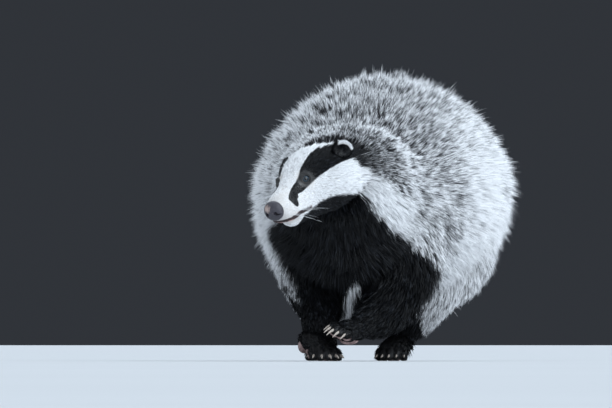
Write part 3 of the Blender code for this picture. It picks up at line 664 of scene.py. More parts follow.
def head_marks(points):
    """Black, white and grizzled shares on the head."""
    out, back, up = (head_place(points) * 1000).T
    angle = np.degrees(np.arctan2(up, np.abs(out)))
    near, far = (np.interp(back, *np.array(table).T) for table in (STRIPE_TOP, FAR_STRIPE_TOP))
    top = np.where(out < 0, far, near)
    bottom = np.interp(back, *np.array(STRIPE_BOTTOM).T)
    black = fade(bottom - STRIPE_SOFT, bottom + STRIPE_SOFT, angle)
    black *= fade(top + STRIPE_SOFT, top - STRIPE_SOFT, angle)
    cheek = np.interp(back, *np.array(CHEEK_BOTTOM).T)
    throat = fade(cheek + 8, cheek - 8, angle)
    black = np.maximum(black * fade(22, 24, back), throat)
    thin = np.exp(-(((back - 51) / 7) ** 2) - ((angle - 43) / 10) ** 2)
    black *= 1 - 0.36 * thin
    # Above the white of the cheek the neck is darkened: partly the coat's dark bands, partly painted shade
    # below the ruff.
    across = points[:, 0] * math.cos(CAMERA_TURN) + points[:, 1] * math.sin(CAMERA_TURN)
    cheek_top = np.interp(across, *np.array(CHEEK_TOP).T)
    nape = fade(cheek_top - 0.004, cheek_top + 0.005, points[:, 2]) * fade(-0.034, -0.027, across)
    black = np.maximum(black, 0.75 * nape)
    worn = fade(150, 175, back) * 0.6
    white = (1 - black) * (1 - worn) * (1 - thin)
    return np.stack([black * (1 - worn * 0.5), white, np.clip(1 - black - white, 0, 1)], 1)


def trunk_marks(name, points, along, angle):
    """Black, white and grizzled shares on the trunk, tail and legs."""
    x, y, z = points.T
    across = np.abs(x) * math.cos(CAMERA_TURN) + y * math.sin(CAMERA_TURN)
    left, right = (np.interp(z, *np.array(table).T) for table in (BIB_LEFT, BIB_RIGHT))
    bib = np.where(x > 0, left, right)
    in_bib = fade(bib + 0.020, bib - 0.012, across)
    black, white = np.zeros(len(points)), np.zeros(len(points))
    side_angle = np.where(np.abs(angle) > 90, np.sign(angle) * (180 - np.abs(angle)), angle)
    if "paw" in name:
        black += 1
    elif "foreleg" in name:
        black_to = np.where(x < 0, 0.088, 0.075) + 0.040 * fade(-0.165, -0.130, y)
        black = np.maximum(in_bib, fade(0.0, 0.022, black_to - z))
        white += 0.5
    elif "hindleg" in name:
        black = np.maximum(fade(0.060, 0.050, np.abs(x)), fade(0.046, 0.020, z)) * fade(0.17, 0.13, z)
        white += 0.55
    elif name == "tail":
        white += 0.45
    else:
        black = fade(-50, -70, side_angle) * 0.95
        front_share = np.where(x < 0, 0.65, 0.40)
        white = np.interp(side_angle, *np.array(TRUNK_WHITE).T)
        white = white * (front_share + (1 - front_share) * fade(-0.10, 0.0, y))
        white *= 1 - 0.45 * fade(0.03, 0.11, y)
        front = fade(-0.085, -0.125, y)
        # Above the white of the cheek, on the left side of the neck, the coat is darkened: partly its dark
        # bands, partly painted shade below the ruff.
        cheek = np.interp(across, *np.array(CHEEK_TOP).T)
        nape = fade(cheek - 0.004, cheek + 0.006, z) * fade(cheek + 0.060, cheek + 0.035, z)
        nape = nape * fade(0.050, 0.015, across)
        black = np.maximum(black, 0.58 * front * nape * (x > 0))
        white = np.maximum(white, front * fade(0.075, 0.025, across) * fade(cheek + 0.004, cheek - 0.008, z))
        picture = x * math.cos(CAMERA_TURN) + y * math.sin(CAMERA_TURN)
        throat = np.exp(-(((picture + 0.053) / 0.016) ** 2) - ((z - 0.180) / 0.012) ** 2)
        black = np.maximum(black, fade(-0.070, -0.105, y) * in_bib * (1 - 0.45 * throat))
        tuft = fade(0.010, 0.004, np.abs(picture + 0.022 + (0.09 - z) * 0.54)) * fade(0.104, 0.094, z)
        tuft *= fade(-0.20, -0.185, y) * fade(-0.02, -0.05, y)
        black, white = black * (1 - tuft), np.maximum(white, tuft)
    white = white * (1 - black)
    return np.stack([black, white, np.clip(1 - black - white, 0, 1)], 1)


def ear_place(left, points):
    """Across, out of the cup and along the ear, as shares of its half sizes."""
    middle, axes = ears[left]
    return (points - np.array(middle)) @ np.array(axes).T / (np.array(EAR_SIZE) * EAR_SHARE[left])


def coat_at(points):
    """What the coat is like at points of the skin: shares of the parts, lie, depth and markings."""
    names = list(paths)
    places = {name: place_on(paths[name], points) for name in names}
    nearness = np.stack([places[name][2] for name in names])
    for left in ears:
        in_ear = np.linalg.norm(ear_place(left, points), axis=1)
        nearness = np.vstack([nearness, np.where(in_ear < 1.25, 0.0, 9.0)])
        names.append(("ear", left))
    share = np.exp(-(nearness - nearness.min(0)) / BLEND)
    share /= share.sum(0)
    lie = np.zeros_like(points)
    depth = np.zeros(len(points))
    marks = np.zeros((len(points), 3))
    for name, weight in zip(names, share):
        if name in paths:
            along, angle, _ = places[name]
            lie += weight[:, None] * read_at(paths[name]["ahead"], along)
            own_depth = read_at(paths[name]["coat"], along)
            if name == "torso":
                side_angle = np.where(np.abs(angle) > 90, np.sign(angle) * (180 - np.abs(angle)), angle)
                own_depth = own_depth * np.interp(side_angle, *np.array(TRUNK_DEPTH).T)
            depth += weight * own_depth
            own = head_marks(points) if name == "head" else trunk_marks(name, points, along, angle)
        else:
            local = ear_place(name[1], points)
            lie += weight[:, None] * np.array(ears[name[1]][1][2])
            in_cup = fade(0.0, 0.3, local[:, 1]) * fade(0.95, 0.75, np.hypot(local[:, 0], local[:, 2]))
            depth += weight * (0.0028 - 0.0013 * in_cup)
            rim = fade(0.70, 0.86, np.hypot(local[:, 0], local[:, 2])) * fade(0.05, 0.35, local[:, 2])
            rim *= fade(0.80, 0.40, local[:, 0] * name[1])
            own = np.stack([1 - rim, rim, rim * 0], 1)
        marks += weight[:, None] * own
    lie[:, 2] -= GRAVITY
    return names, share, unit(lie), depth, np.clip(marks, 0, 1)


def numbers_of(mesh_part, key, width, kind=float):
    """A mesh's values as an array."""
    values = np.empty(len(mesh_part) * width, kind)
    mesh_part.foreach_get(key, values)
    return values.reshape(-1, width) if width > 1 else values


skin_mesh = skin.data
skin_points = numbers_of(skin_mesh.vertices, "co", 3)
skin_normals = numbers_of(skin_mesh.vertices, "normal", 3)
skin_edges = numbers_of(skin_mesh.edges, "vertices", 2, np.int32)
part_names, part_share, skin_lie, skin_depth, skin_marks = coat_at(skin_points)


def smoothed(values, times):
    """Values at the skin's points, each moved towards the mean of its neighbours."""
    a, b = skin_edges.T
    count = np.bincount(skin_edges.ravel(), minlength=len(values))[:, None]
    for _ in range(times):
        near = [
            np.bincount(a, column[b], len(values)) + np.bincount(b, column[a], len(values))
            for column in values.T
        ]
        values = (values + np.stack(near, 1) / np.maximum(count, 1)) / 2
    return values


skin_lie -= skin_normals * (skin_lie * skin_normals).sum(1, keepdims=True)
skin_lie = unit(smoothed(skin_lie, 12))
skin_depth = smoothed(skin_depth[:, None], 12)[:, 0]

# Bare places: the rims of the lids, the lips and the nose's bed.
eye_centres = [np.array(centre) for centre, axes in eyes.values()]
eye_away = np.min([np.linalg.norm(skin_points - centre, axis=1) for centre in eye_centres], 0)
skin_place = head_place(skin_points)
near_mouth = (skin_place[:, 1] < 0.055) & (np.abs(skin_place[:, 0]) < 0.03) & (skin_place[:, 2] < 0)


def away_from(line):
    """How far the skin's points by the mouth are from a line of points. The others are far."""
    away = np.full(len(skin_points), 1.0)
    away[near_mouth] = np.min([np.linalg.norm(skin_points[near_mouth] - point, axis=1) for point in line], 0)
    return away


lid_bare = fade(EYE_CLEAR, 0.0066, eye_away)
upper_lip, lower_lip = mouth_lips
upper_away, lower_away = away_from(upper_lip), away_from(lower_lip)
lip_bare = fade(0.0034, 0.0024, lower_away)
mouth_floor = -mouth_drop(skin_place[:, 1])
above_floor = skin_place[:, 2] - mouth_floor
# gape: the inside of the slit and the skin along the upper lip, which the hide paints very dark red as shade
# in the slit.
gape = near_mouth & (above_floor > -0.0003) & (above_floor < MOUTH_OPEN + 0.0003)
gape = np.maximum(gape & (np.minimum(upper_away, lower_away) > 0.0016), fade(0.0020, 0.0013, upper_away))
lip_bare = np.maximum(lip_bare, gape)
skin_bare = np.maximum(lid_bare, lip_bare)
skin_bare = np.maximum(skin_bare, fade(0.0125, 0.0105, skin_place[:, 1]) * (skin_place[:, 2] < 0.02))
# The hair parts round the eyes and is shortest by the eyes and lips.
nearest_eye = np.argmin([np.linalg.norm(skin_points - c, axis=1) for c in eye_centres], 0)
from_eye = skin_points - np.array(eye_centres)[nearest_eye]
skin_lie += unit(from_eye) * (2.0 * fade(0.0150, 0.0080, eye_away))[:, None]
skin_lie = unit(skin_lie - skin_normals * (skin_lie * skin_normals).sum(1, keepdims=True))
skin_depth *= 0.30 + 0.70 * fade(0.0075, 0.0170, eye_away)
skin_depth *= 0.35 + 0.65 * fade(0.0025, 0.0100, np.minimum(upper_away, lower_away))
# Between the forelegs the hair hangs longest.
LONGER_BETWEEN = 0.75
skin_across = skin_points[:, 0] * math.cos(CAMERA_TURN) + skin_points[:, 1] * math.sin(CAMERA_TURN)
between = fade(0.028, 0.014, np.abs(skin_across + 0.022 + (0.09 - skin_points[:, 2]) * 0.54))
between *= fade(0.066, 0.078, skin_points[:, 2]) * fade(0.120, 0.106, skin_points[:, 2])
between *= fade(-0.20, -0.185, skin_points[:, 1]) * fade(0.04, 0.0, skin_points[:, 1])
skin_depth *= 1 + LONGER_BETWEEN * between


# Fur
# Thin tapered locks of hair, each a flat ribbon with its root in the skin, drawn towards its neighbours at
# the tip. The long coat of the trunk stands well out, the face has fur of a few millimetres.
class Value:
    """A shader node's output, with arithmetic between outputs and numbers."""

    def __init__(self, tree, socket=None):
        self.tree = tree
        self.socket = socket

    def node(self, kind, settings=None, inputs=None, output=0):
        """A new node: its settings are set first, then its inputs get numbers or outputs."""
        made = self.tree.nodes.new(kind)
        for key, value in (settings or {}).items():
            setattr(made, key, value)
        for key, value in (inputs or {}).items():
            if isinstance(value, Value):
                self.tree.links.new(value.socket, made.inputs[key])
            else:
                made.inputs[key].default_value = value
        return Value(self.tree, made.outputs[output])

    def maths(self, operation, first, second):
        return self.node("ShaderNodeMath", {"operation": operation}, {0: first, 1: second})

    def __add__(self, other):
        return self.maths("ADD", self, other)

    def __sub__(self, other):
        return self.maths("SUBTRACT", self, other)

    def __rsub__(self, other):
        return self.maths("SUBTRACT", other, self)

    def __mul__(self, other):
        return self.maths("MULTIPLY", self, other)

    __radd__ = __add__
    __rmul__ = __mul__

    def rise(self, low, high):
        """From 0 at low to 1 at high."""
        inputs = {"Value": self, "From Min": low, "From Max": high}
        return self.node("ShaderNodeMapRange", {"interpolation_type": "SMOOTHSTEP"}, inputs)

    def mix(self, first, second):
        """The first colour where this is 0, the second where it is 1."""
        inputs = {"Factor": self}
        for key, colour in ((6, first), (7, second)):
            inputs[key] = colour if isinstance(colour, Value) else (*colour, 1)
        return self.node("ShaderNodeMix", {"data_type": "RGBA"}, inputs, 2)

    def attribute(self, name, output="Fac"):
        return self.node("ShaderNodeAttribute", {"attribute_name": name}, output=output)

    def noise(self, scale, detail=3.0, stretch=(1, 1, 1)):
        """Cloudy values round 0.5, at a scale in patches per metre."""
        place = self.node("ShaderNodeTexCoord", output="Object")
        place = self.node("ShaderNodeVectorMath", {"operation": "MULTIPLY"}, {0: place, 1: stretch})
        return self.node("ShaderNodeTexNoise", None, {"Vector": place, "Scale": scale, "Detail": detail})


def new_material(name, constants):
    """A material, a start for its values, and a function that feeds a socket of its shader."""
    made = bpy.data.materials.new(name)
    made.use_nodes = True
    shader = made.node_tree.nodes["Principled BSDF"]
    for key, value in constants.items():
        shader.inputs[key].default_value = value

    def feed(key, value):
        made.node_tree.links.new(value.socket, shader.inputs[key])

    return made, Value(made.node_tree), feed


def bump(start, height, distance, strength=1.0):
    """A normal from a height of 0 to 1 that stands for a distance in metres."""
    return start.node("ShaderNodeBump", None, {"Height": height, "Distance": distance, "Strength": strength})


fur, start, feed = new_material("fur", {"Roughness": 0.48, "Specular IOR Level": 0.18})
along = start.attribute("along")
tint = start.attribute("tint")
marks = start.attribute("mark", "Color")
parts = [start.node("ShaderNodeSeparateColor", None, {"Color": marks}, key) for key in range(3)]
shifted = along + (tint - 0.5) * 0.16
band = shifted.rise(0.26, 0.40) * (1 - (shifted - parts[2] * 0.22).rise(0.58, 0.70))
band = band * parts[2].rise(0.05, 0.40)
grey = tint.mix((0.22, 0.21, 0.21), (0.46, 0.45, 0.45))
grey = shifted.rise(0.60, 0.84).mix(grey, (0.88, 0.88, 0.90))
grey = band.mix(grey, (0.022, 0.021, 0.024))
white = shifted.rise(0.05, 0.60).mix((0.50, 0.48, 0.48), (0.89, 0.89, 0.90))
# The black coat: most locks are near black, and those with the highest tint are lighter and bluer, as painted
# sheen.
black = tint.rise(0.62, 1.0).mix((0.0035, 0.0036, 0.0045), (0.026, 0.029, 0.036))
feed("Base Color", parts[0].mix(parts[1].mix(grey, white), black))

TUFT_STATIONS = (0.0, 0.55, 1.0)
TUFT_WIDTHS = (0.75, 1.0, 0.0)
PATCH = 0.0015  # half of a tuft's patch on the map
LOWEST_HAIR = 0.0006  # above the floor
BEND_STEPS = 12  # in which a tuft's bend is added up
rng = np.random.default_rng(7)

skin_mesh.calc_loop_triangles()
skin_corners = numbers_of(skin_mesh.loop_triangles, "vertices", 3, np.int32)
skin_areas = numbers_of(skin_mesh.loop_triangles, "area", 1)


def scatter(count, chance):
    """Roots spread evenly over the skin where chance isn't 0, as a reader of values there."""
    weight = skin_areas * chance[skin_corners].mean(1)
    edges = np.cumsum(weight)
    picks = (np.arange(count) + rng.random(count)) / count * edges[-1]
    faces = np.minimum(np.searchsorted(edges, picks), len(edges) - 1)
    a, b = rng.random((2, count))
    flip = a + b > 1
    a, b = np.where(flip, 1 - a, a), np.where(flip, 1 - b, b)
    mix = np.stack([1 - a - b, a, b], 1)

    def read(values):
        found = values[skin_corners[faces]]
        return (found * (mix[..., None] if found.ndim == 3 else mix)).sum(1)

    return read


def clumps(roots, size, seed):
    """The number of each root's clump, for clumps about a size across."""
    warp = np.stack([np.sin(roots[:, (k + 1) % 3] / size * 1.7 + k + seed) for k in range(3)], 1) * 0.35
    cell = np.floor(roots / size + warp).astype(np.int64)
    key = (cell[:, 0] * 73856093) ^ (cell[:, 1] * 19349663) ^ (cell[:, 2] * 83492791)
    return np.unique(key, return_inverse=True)[1]


def mean_of(group, values):
    """The mean of values over each clump, for each root."""
    count = np.bincount(group)
    return np.stack([np.bincount(group, column) / count for column in values.T], 1)[group]


def grow(
    name,
    part,
    count,
    chance,
    length=1.85,
    width=0.00068,
    lean=(46, 20),
    clump=0.0060,
    pull=0.62,
    rough=0.20,
):
    """One piece of a part's coat, on the skin where chance isn't 0."""
    read = scatter(count, chance)
    root, normal, lie, depth = (read(values) for values in (skin_points, skin_normals, skin_lie, skin_depth))
    normal, lie = unit(normal), unit(lie)
    across = unit(np.cross(lie, normal))
    large, small = clumps(root, clump, 1), clumps(root, clump * 0.38, 2)
    sway, lift, grown, shade = np.clip(rng.normal(0, 1, (4, large.max() + 1)), -1.6, 1.6)[:, large]
    lock_sway, lock_grown, lock_shade = np.clip(rng.normal(0, 1, (3, small.max() + 1)), -1.8, 1.8)[:, small]
    lie = unit(lie + across * (sway * 0.12 + lock_sway * 0.10 + rng.normal(0, 0.07, count))[:, None])
    size = depth * length * (0.92 + 0.03 * grown + 0.06 * lock_grown) * (1 - 0.35 * rng.random(count) ** 2)
    stations = np.array(TUFT_STATIONS)
    fine = np.linspace(0, 1, BEND_STEPS + 1)
    angle = np.radians(lean[0] + (lean[1] - lean[0]) * fine)[None]
    angle = angle + np.radians(rng.normal(0, 4, count) + 6 * lift)[:, None]
    rise = np.concatenate([np.zeros((count, 1)), np.cumsum(np.sin(angle[:, 1:]), 1)], 1) / BEND_STEPS
    run = np.concatenate([np.zeros((count, 1)), np.cumsum(np.cos(angle[:, 1:]), 1)], 1) / BEND_STEPS
    at = np.round(stations * BEND_STEPS).astype(int)
    spine = (
        root[:, None]
        + normal[:, None] * (size[:, None] * rise[:, at])[..., None]
        + lie[:, None] * (size[:, None] * run[:, at])[..., None]
    )
    for group, draw in ((small, pull), (large, pull * 0.28)):
        strength = np.clip(draw + rng.normal(0, 0.12, count), 0, 0.95)[:, None]
        moved = (mean_of(group, spine[:, -1]) - spine[:, -1]) * strength
        spine += moved[:, None] * (stations**1.3)[None, :, None]
    spine -= normal[:, None] * 0.0004
    ahead = unit(spine[:, -1] - spine[:, 0])
    flat = unit(np.cross(ahead, normal))
    other = np.cross(ahead, flat)
    roll = np.radians(rng.uniform(-60, 60, count))[:, None]
    flat = flat * np.cos(roll) + other * np.sin(roll)
    half = width / 2 * rng.uniform(0.7, 1.3, count)
    wide = flat[:, None] * (half[:, None] * np.array(TUFT_WIDTHS))[..., None]
    points = np.stack([spine - wide, spine + wide], 2).reshape(count, -1, 3)[:, :-1]
    points[..., 2] = np.maximum(points[..., 2], LOWEST_HAIR)
    whole = points.shape[1]
    pattern = []
    for k in range(0, whole - 3, 2):
        pattern += [(k, k + 1, k + 3), (k, k + 3, k + 2)]
    pattern.append((whole - 3, whole - 2, whole - 1))
    corners = (np.arange(count)[:, None, None] * whole + np.array(pattern)).ravel()
    mesh = bpy.data.meshes.new(name)
    mesh.vertices.add(count * whole)
    mesh.vertices.foreach_set("co", points.ravel())
    mesh.loops.add(len(corners))
    mesh.loops.foreach_set("vertex_index", corners)
    mesh.polygons.add(len(corners) // 3)
    mesh.polygons.foreach_set("loop_start", np.arange(0, len(corners), 3))
    mesh.update(calc_edges=True)
    station = np.repeat(stations, 2)[:-1]
    side = np.tile([-1.0, 1.0], len(stations))[:-1]
    side[-1] = 0
    unrolled_along, unrolled_angle, _ = place_on(paths[part], root)
    place = 0.005 + 0.99 * np.stack([unrolled_angle / 360 + 0.5, unrolled_along], 1)
    patch = np.stack([side, station * 2 - 1], 1)[None]
    uv = (place[:, None] + patch * PATCH).reshape(-1, 2)[corners]
    mesh.uv_layers.new(name="OFBake").data.foreach_set("uv", uv.ravel())
    mesh.attributes.new("along", "FLOAT", "POINT").data.foreach_set("value", np.tile(station, count))
    random_tint = np.clip(0.5 + 0.08 * shade + 0.20 * lock_shade + rng.normal(0, 0.12, count), 0, 1)
    mesh.attributes.new("tint", "FLOAT", "POINT").data.foreach_set("value", np.repeat(random_tint, whole))
    mark = coat_at(spine[:, 1])[4]
    mark[:, 2] = mark[:, 2] * (0.85 + 0.12 * sway + 0.18 * lock_shade) + rng.normal(0, 0.10, count)
    unsure = 0.2 + 3.2 * mark[:, :2] * (1 - mark[:, :2])
    mark[:, :2] = fade(0.30, 0.70, mark[:, :2] + rng.normal(0, rough, (count, 2)) * unsure)
    colour = np.ones((count, 4))
    colour[:, :3] = np.clip(mark, 0, 1)
    layer = mesh.attributes.new("mark", "FLOAT_COLOR", "POINT")
    layer.data.foreach_set("color", np.repeat(colour, whole, 0).ravel())
    mesh.materials.append(fur)
    made = bpy.data.objects.new(name, mesh)
    bpy.context.scene.collection.objects.link(made)
    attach(made, "root")


owner = np.array([str(name) for name in part_names])[part_share.argmax(0)]
trunk_up = place_on(paths["torso"], skin_points)[1]
furred = 1 - skin_bare
on_torso = (owner == "torso") * furred
head_owner = ((owner == "head") | np.char.startswith(owner, "(")) * furred
for name, count, where in (
    ("coat_back_left", 56000, (trunk_up > 25) & (trunk_up < 90)),
    ("coat_back_right", 56000, (trunk_up >= 90) & (trunk_up < 155)),
    ("coat_flank_left", 60000, (trunk_up <= 25) & (trunk_up > -45)),
    ("coat_flank_right", 54000, (trunk_up >= 155) | (trunk_up < -135)),
    ("coat_belly", 34000, (trunk_up <= -45) & (trunk_up >= -135)),
):
    grow(name, "torso", count, on_torso * where)
grow("coat_neck", "neck", 56000, (owner == "neck") * furred, length=1.8, lean=(58, 30))
grow("coat_tail", "tail", 13000, (owner == "tail") * furred)
for leg in ("foreleg_left", "foreleg_right", "hindleg_left", "hindleg_right"):
    grow("coat_" + leg, leg, 18000, (owner == leg) * furred, length=1.7, lean=(38, 12))
for paw in PAWS:
    short = {"length": 2.0, "width": 0.0007, "lean": (25, 5), "clump": 0.003, "pull": 0.3}
    grow("coat_" + paw, paw, 4500, (owner == paw) * furred, **short)
short = {"length": 2.0, "width": 0.00055, "lean": (30, 10), "clump": 0.0035, "pull": 0.35, "rough": 0.12}
grow("coat_head", "head", 62000, head_owner, **short)

# The hide itself shows between the locks, and on the short-haired and bare places.
hide, start, feed = new_material("hide", {"Roughness": 0.60})
marks = start.attribute("mark", "Color")
parts = [start.node("ShaderNodeSeparateColor", None, {"Color": marks}, key) for key in range(2)]
under = parts[0].mix(parts[1].mix((0.25, 0.235, 0.225), (0.62, 0.59, 0.57)), (0.013, 0.012, 0.012))
lids = start.attribute("lids")
lips = start.attribute("lips")
under = lids.mix(under, (0.0065, 0.0060, 0.0075))
under = lips.mix(under, start.noise(330, 2).rise(0.42, 0.56).mix((0.070, 0.036, 0.038), (0.50, 0.29, 0.26)))
# Inside the slit the hide is painted very dark red, as shade.
under = start.attribute("gape").mix(under, (0.022, 0.010, 0.010))
hairs = start.noise(900, 4, (1, 0.25, 1))
feed("Base Color", under)
feed("Normal", bump(start, hairs, 0.0004, 0.5))
skin_mesh.materials.clear()
skin_mesh.materials.append(hide)
colour = np.ones((len(skin_points), 4))
colour[:, :3] = skin_marks
skin_mesh.attributes.new("mark", "FLOAT_COLOR", "POINT").data.foreach_set("color", colour.ravel())
skin_mesh.attributes.new("lids", "FLOAT", "POINT").data.foreach_set("value", lid_bare)
skin_mesh.attributes.new("gape", "FLOAT", "POINT").data.foreach_set("value", gape)
skin_mesh.attributes.new("lips", "FLOAT", "POINT").data.foreach_set("value", lip_bare)
skin_mesh.shade_smooth()
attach(skin, "root")
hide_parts("torso", "neck", "tail", "head", "lower_jaw", "ear_left", "ear_right")
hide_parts("foreleg_left", "foreleg_right", "hindleg_left", "hindleg_right", *PAWS)

# Eyes
# Small glossy balls behind the lids, held by their rims. Each has a wide black pupil and a narrow
# iris, painted slate blue as a reflection over its dark colour, and is dark round it.
PUPIL = 24  # degrees from the eye's axis
IRIS = 44
eyeball, start, feed = new_material("eye", {"Roughness": 0.03, "Specular IOR Level": 0.45})
turned = start.attribute("turned")
# The iris ring is painted slate blue, as a painted reflection over the eye's dark colour.
iris_and_painted_reflection = start.noise(1400, 2).mix((0.014, 0.024, 0.034), (0.060, 0.095, 0.125))
ring = turned.rise(PUPIL - 2, PUPIL + 4) * (1 - turned.rise(IRIS - 6, IRIS + 2))
feed("Base Color", ring.mix((0.003, 0.003, 0.004), iris_and_painted_reflection))
for left, (centre, axes) in eyes.items():
    side = "left" if left > 0 else "right"
    made = object_from("eye_ball_" + side, *ball(centre, axes, [EYE_RADIUS] * 3))
    outward = unit(numbers_of(made.data.vertices, "co", 3) - np.array(centre)) @ np.array(axes[1])
    turned = np.degrees(np.arccos(np.clip(outward, -1, 1)))
    made.data.attributes.new("turned", "FLOAT", "POINT").data.foreach_set("value", turned)
    made.data.shade_smooth()
    made.data.materials.append(eyeball)
    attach(made, "root")
    "eye_" + side
    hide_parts("eye_" + side)

# Nose
# A leather pad with a nostril on each side, which curls out to a slot, and a groove down its middle.
# It fills the bed at the tip of the head.
NOSE_SIZE = (0.0137, 0.0085, 0.0126)
NOSE_BACK = 0.0085
NOSE_VOXEL = 0.00045
NOSTRIL = ((0.0062, 0.0010, -0.0022), (0.0025, 0.0050, 0.0026))
NOSTRIL_SLOT = ((0.0096, 0.0034, -0.0040), (0.0034, 0.0036, 0.0008))
NOSE_GROOVE = ((0, 0.0002, -0.0078), (0.0006, 0.0016, 0.0055))
nose = object_from("nose_leather", *ball(head_point(0, NOSE_BACK, 0), head_axes, NOSE_SIZE, 64, 44))
for (out, back, up), sizes in (NOSTRIL, NOSTRIL_SLOT, NOSE_GROOVE):
    for left in (-1, 1) if out else (1,):
        cut(nose, object_from("pit", *ball(head_point(left * out, back, up), head_axes, sizes, 24, 16)))
remesh = nose.modifiers.new("even", "REMESH")
remesh.mode = "VOXEL"
remesh.voxel_size = NOSE_VOXEL
soften = nose.modifiers.new("softened", "SMOOTH")
soften.iterations = 4
settle(nose)
nose.data.materials.clear()
nose_place = head_place(numbers_of(nose.data.vertices, "co", 3))
pale_out, pale_up = (nose_place[:, 0] + 0.0045) / 0.0056, (nose_place[:, 2] - 0.0055) / 0.0048
pale = 1.2 * np.exp(-(pale_out**2) - pale_up**2)
nose.data.attributes.new("pale", "FLOAT", "POINT").data.foreach_set("value", pale)
leather, start, feed = new_material("nose leather", {"Roughness": 0.40})
grain = start.noise(900, 3) + start.noise(2400, 1) * 0.4
mottled = (start.attribute("pale") + (start.noise(450, 3) - 0.5) * 1.6).rise(0.20, 1.10)
dark_leather = start.noise(300, 3).mix((0.018, 0.016, 0.022), (0.072, 0.066, 0.084))
feed("Base Color", mottled.mix(dark_leather, (0.50, 0.38, 0.34)))
feed("Normal", bump(start, grain, 0.0006, 0.9))
nose.data.shade_smooth()
nose.data.materials.append(leather)
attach(nose, "root")
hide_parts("nose")

# Claws
# Long pale horn on the forefeet, shorter on the hind feet. Each is a curved cone that bends down and
# grows from the tip of a toe.
CLAW_LENGTH = {"fore": 0.020, "hind": 0.012}
CLAW_RADIUS = 0.0026
CLAW_BEND = 0.48
STANDING_CLAW_BEND = 0.30
STANDING_CLAW_RISE = 0.12
LOWEST_CLAW = 0.0012  # above the floor
horn, start, feed = new_material("claw horn", {"Roughness": 0.35})
streaks = start.noise(500, 3, (1, 0.2, 1))
feed("Base Color", streaks.mix((0.26, 0.20, 0.16), (0.62, 0.55, 0.49)))
for name in PAWS:
    heel, knuckles, (across, toe, dorsal) = paw_frame(name)
    kind = "fore" if "fore" in name else "hind"
    stands = name != LIFTED_PAW
    solids = []
    for place in np.linspace(-1, 1, TOES):
        root, tip = toe_line(name, place)
        way = unit(tip - root)
        if stands:
            way = unit(np.array([way[0], way[1], STANDING_CLAW_RISE]))
        start_at = tip - way * 0.001 + dorsal * 0.0018
        length = CLAW_LENGTH[kind] * (1 - 0.12 * place**2) * (1.0 if stands else 0.78)
        bend = STANDING_CLAW_BEND if stands else CLAW_BEND
        k = np.linspace(0, 1, 14)
        line = start_at + way * (length * k * (1 - 0.10 * k))[:, None]
        line = line - dorsal * (length * bend * k**2)[:, None]
        line[:, 2] = np.maximum(line[:, 2], LOWEST_CLAW)
        size = CLAW_RADIUS * (1 - 0.86 * k**1.3)
        rows = np.column_stack([line, size * 0.75, size, size, size])
        solids.append(loft(path_through(rows, -across), 12, 0.5))
    claws = object_from("claws_" + name[4:], *joined(solids))
    claws.data.shade_smooth()
    claws.data.materials.append(horn)
    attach(claws, "root")

# Pads
# Naked leather under each palm, heel and toe, flat where the paw stands. Each pad is a low cushion that
# is partly sunk in the skin.
PALM_PADS = ((0.75, 0.76, 0.0125, 0.0062, 0.96), (0.02, 0.50, 0.0110, 0.0062, 0.60))
TOE_PAD = (0.0045, 0.0058, 0.0044)
LOWEST_PAD = 0.0003  # above the floor
# The pad on the outer side of the standing forepaw's heel: centre, axes, half sizes.
HEEL_PADS = {"paw_fore_right": ((-0.0572, -0.1705, 0.0190), np.eye(3), (0.0074, 0.0085, 0.0092))}
pad_leather, start, feed = new_material("pad leather", {"Roughness": 0.6})
feed("Base Color", start.noise(120, 3).rise(0.35, 0.65).mix((0.18, 0.115, 0.11), (0.42, 0.29, 0.27)))
feed("Normal", bump(start, start.noise(1200, 2), 0.0003, 0.6))
for name in PAWS:
    heel, knuckles, (across, toe, dorsal) = paw_frame(name)
    wide = PAW_HALF_WIDTH[name]
    way = unit(knuckles - heel)
    sole = unit(-dorsal - way * way.dot(-dorsal))
    pad_axes = (np.cross(way, sole), way, sole)
    balls = [
        ball(heel + (knuckles - heel) * s + sole * 0.0115 * below, pad_axes, (wide * w, long, deep), 32, 20)
        for s, w, long, deep, below in PALM_PADS
    ]
    if name in HEEL_PADS:
        balls.append(ball(*HEEL_PADS[name], 32, 20))
    for place in np.linspace(-1, 1, TOES):
        root, tip = toe_line(name, place)
        middle = root + (tip - root) * 0.8 + sole * 0.0030
        balls.append(ball(middle, pad_axes, TOE_PAD, 24, 14))
    points, faces = joined(balls)
    if name != LIFTED_PAW:
        points[:, 2] = np.maximum(points[:, 2], LOWEST_PAD)
    pads = object_from("pads_" + name[4:], points, faces)
    pads.data.shade_smooth()
    pads.data.materials.append(pad_leather)
    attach(pads, "root")

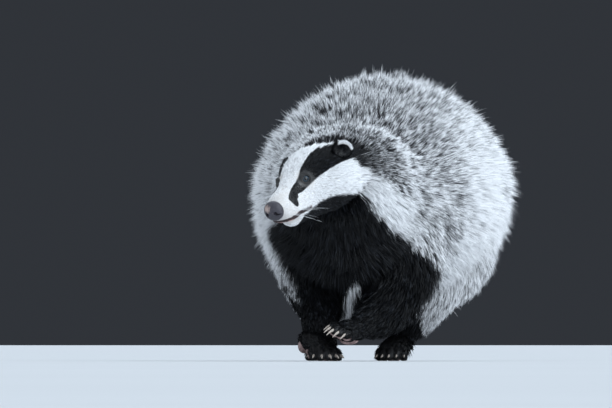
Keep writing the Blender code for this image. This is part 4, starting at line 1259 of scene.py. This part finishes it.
# Whiskers
# A few fine white bristles on each side, which sweep back from the whisker pads. Each is a thin tapered
# tube with its root in the skin.
WHISKERS = 7
WHISKER_LENGTH = 0.042
WHISKER_RADIUS = 0.00017
bristle, start, feed = new_material("bristle", {"Roughness": 0.4})
feed("Base Color", start.noise(60, 1).mix((0.66, 0.66, 0.68), (0.84, 0.84, 0.85)))
surface = BVHTree.FromPolygons(skin_points.tolist(), skin_corners.tolist())
bristles = []
for left in (-1, 1):
    for k in range(WHISKERS):
        back, up = 0.019 + 0.0035 * (k % 4), -0.0060 - 0.0042 * (k // 4) - 0.0010 * (k % 4)
        inside = head_point(0, back, up)
        root = surface.ray_cast(inside, HEAD_TURNED @ Vector((left, 0, 0)))[0] or inside
        fall = -0.10 - 0.30 * (k // 4) + rng.uniform(-0.1, 0.1)
        way = HEAD_TURNED @ Vector((left * 0.75, 0.62, fall)).normalized()
        sweep = HEAD_TURNED @ Vector((-left * 0.25, 0.55, -0.45))
        reach = WHISKER_LENGTH * rng.uniform(0.55, 1.0)
        share = np.linspace(-0.04, 1, 12)
        line = np.array([root + way * (reach * s) + sweep * (reach * 0.60 * s * abs(s)) for s in share])
        size = WHISKER_RADIUS * (1 - 0.85 * np.clip(share, 0, 1))
        bristles.append(tube(line, size, 5, head_axes[0]))
whiskers = object_from("whiskers", *joined(bristles))
whiskers.data.shade_smooth()
whiskers.data.materials.append(bristle)
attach(whiskers, "root")

# Floor
# A plain pale studio floor, which isn't part of the model. It reaches far, so that its edge lies level
# with the low camera.
FLOOR_SIZE = 400
bpy.ops.mesh.primitive_plane_add(size=FLOOR_SIZE)
floor = bpy.context.object
floor.name = "floor"
paint, start, feed = new_material("floor paint", {"Roughness": 0.7})
feed("Base Color", start.noise(0.5, 2).mix((0.60, 0.61, 0.63), (0.64, 0.65, 0.67)))
floor.data.materials.append(paint)

# Light
# Plain soft studio light from wide sources: most of it from overhead and from the picture's right,
# the rest low from the front, from behind and low from the right.
LIGHT_COLOUR = (0.81, 0.91, 1.0)
world = bpy.data.worlds.new("studio")
world.use_nodes = True
world.node_tree.nodes["Background"].inputs["Color"].default_value = (0.030, 0.034, 0.041, 1)
bpy.context.scene.world = world
for name, place, strength, softness in (
    ("overhead", (0.5, -0.6, 3.0), 1.9, 150),
    ("bright_side", (2.4, -1.4, 2.2), 2.0, 50),
    ("low_front", (-2.0, -3.0, 0.9), 0.6, 90),
    ("behind", (-0.5, 3.0, 1.6), 0.9, 90),
    ("low_right", (2.2, -2.4, 0.45), 0.7, 12),
):
    lamp = bpy.data.objects.new(name, bpy.data.lights.new(name, "SUN"))
    bpy.context.scene.collection.objects.link(lamp)
    lamp.rotation_euler = (-Vector(place)).to_track_quat("-Z", "Y").to_euler()
    lamp.data.energy = strength
    lamp.data.angle = math.radians(softness)
    lamp.data.color = LIGHT_COLOUR
    lamp.visible_camera = False

bpy.context.scene.view_settings.view_transform = "Standard"
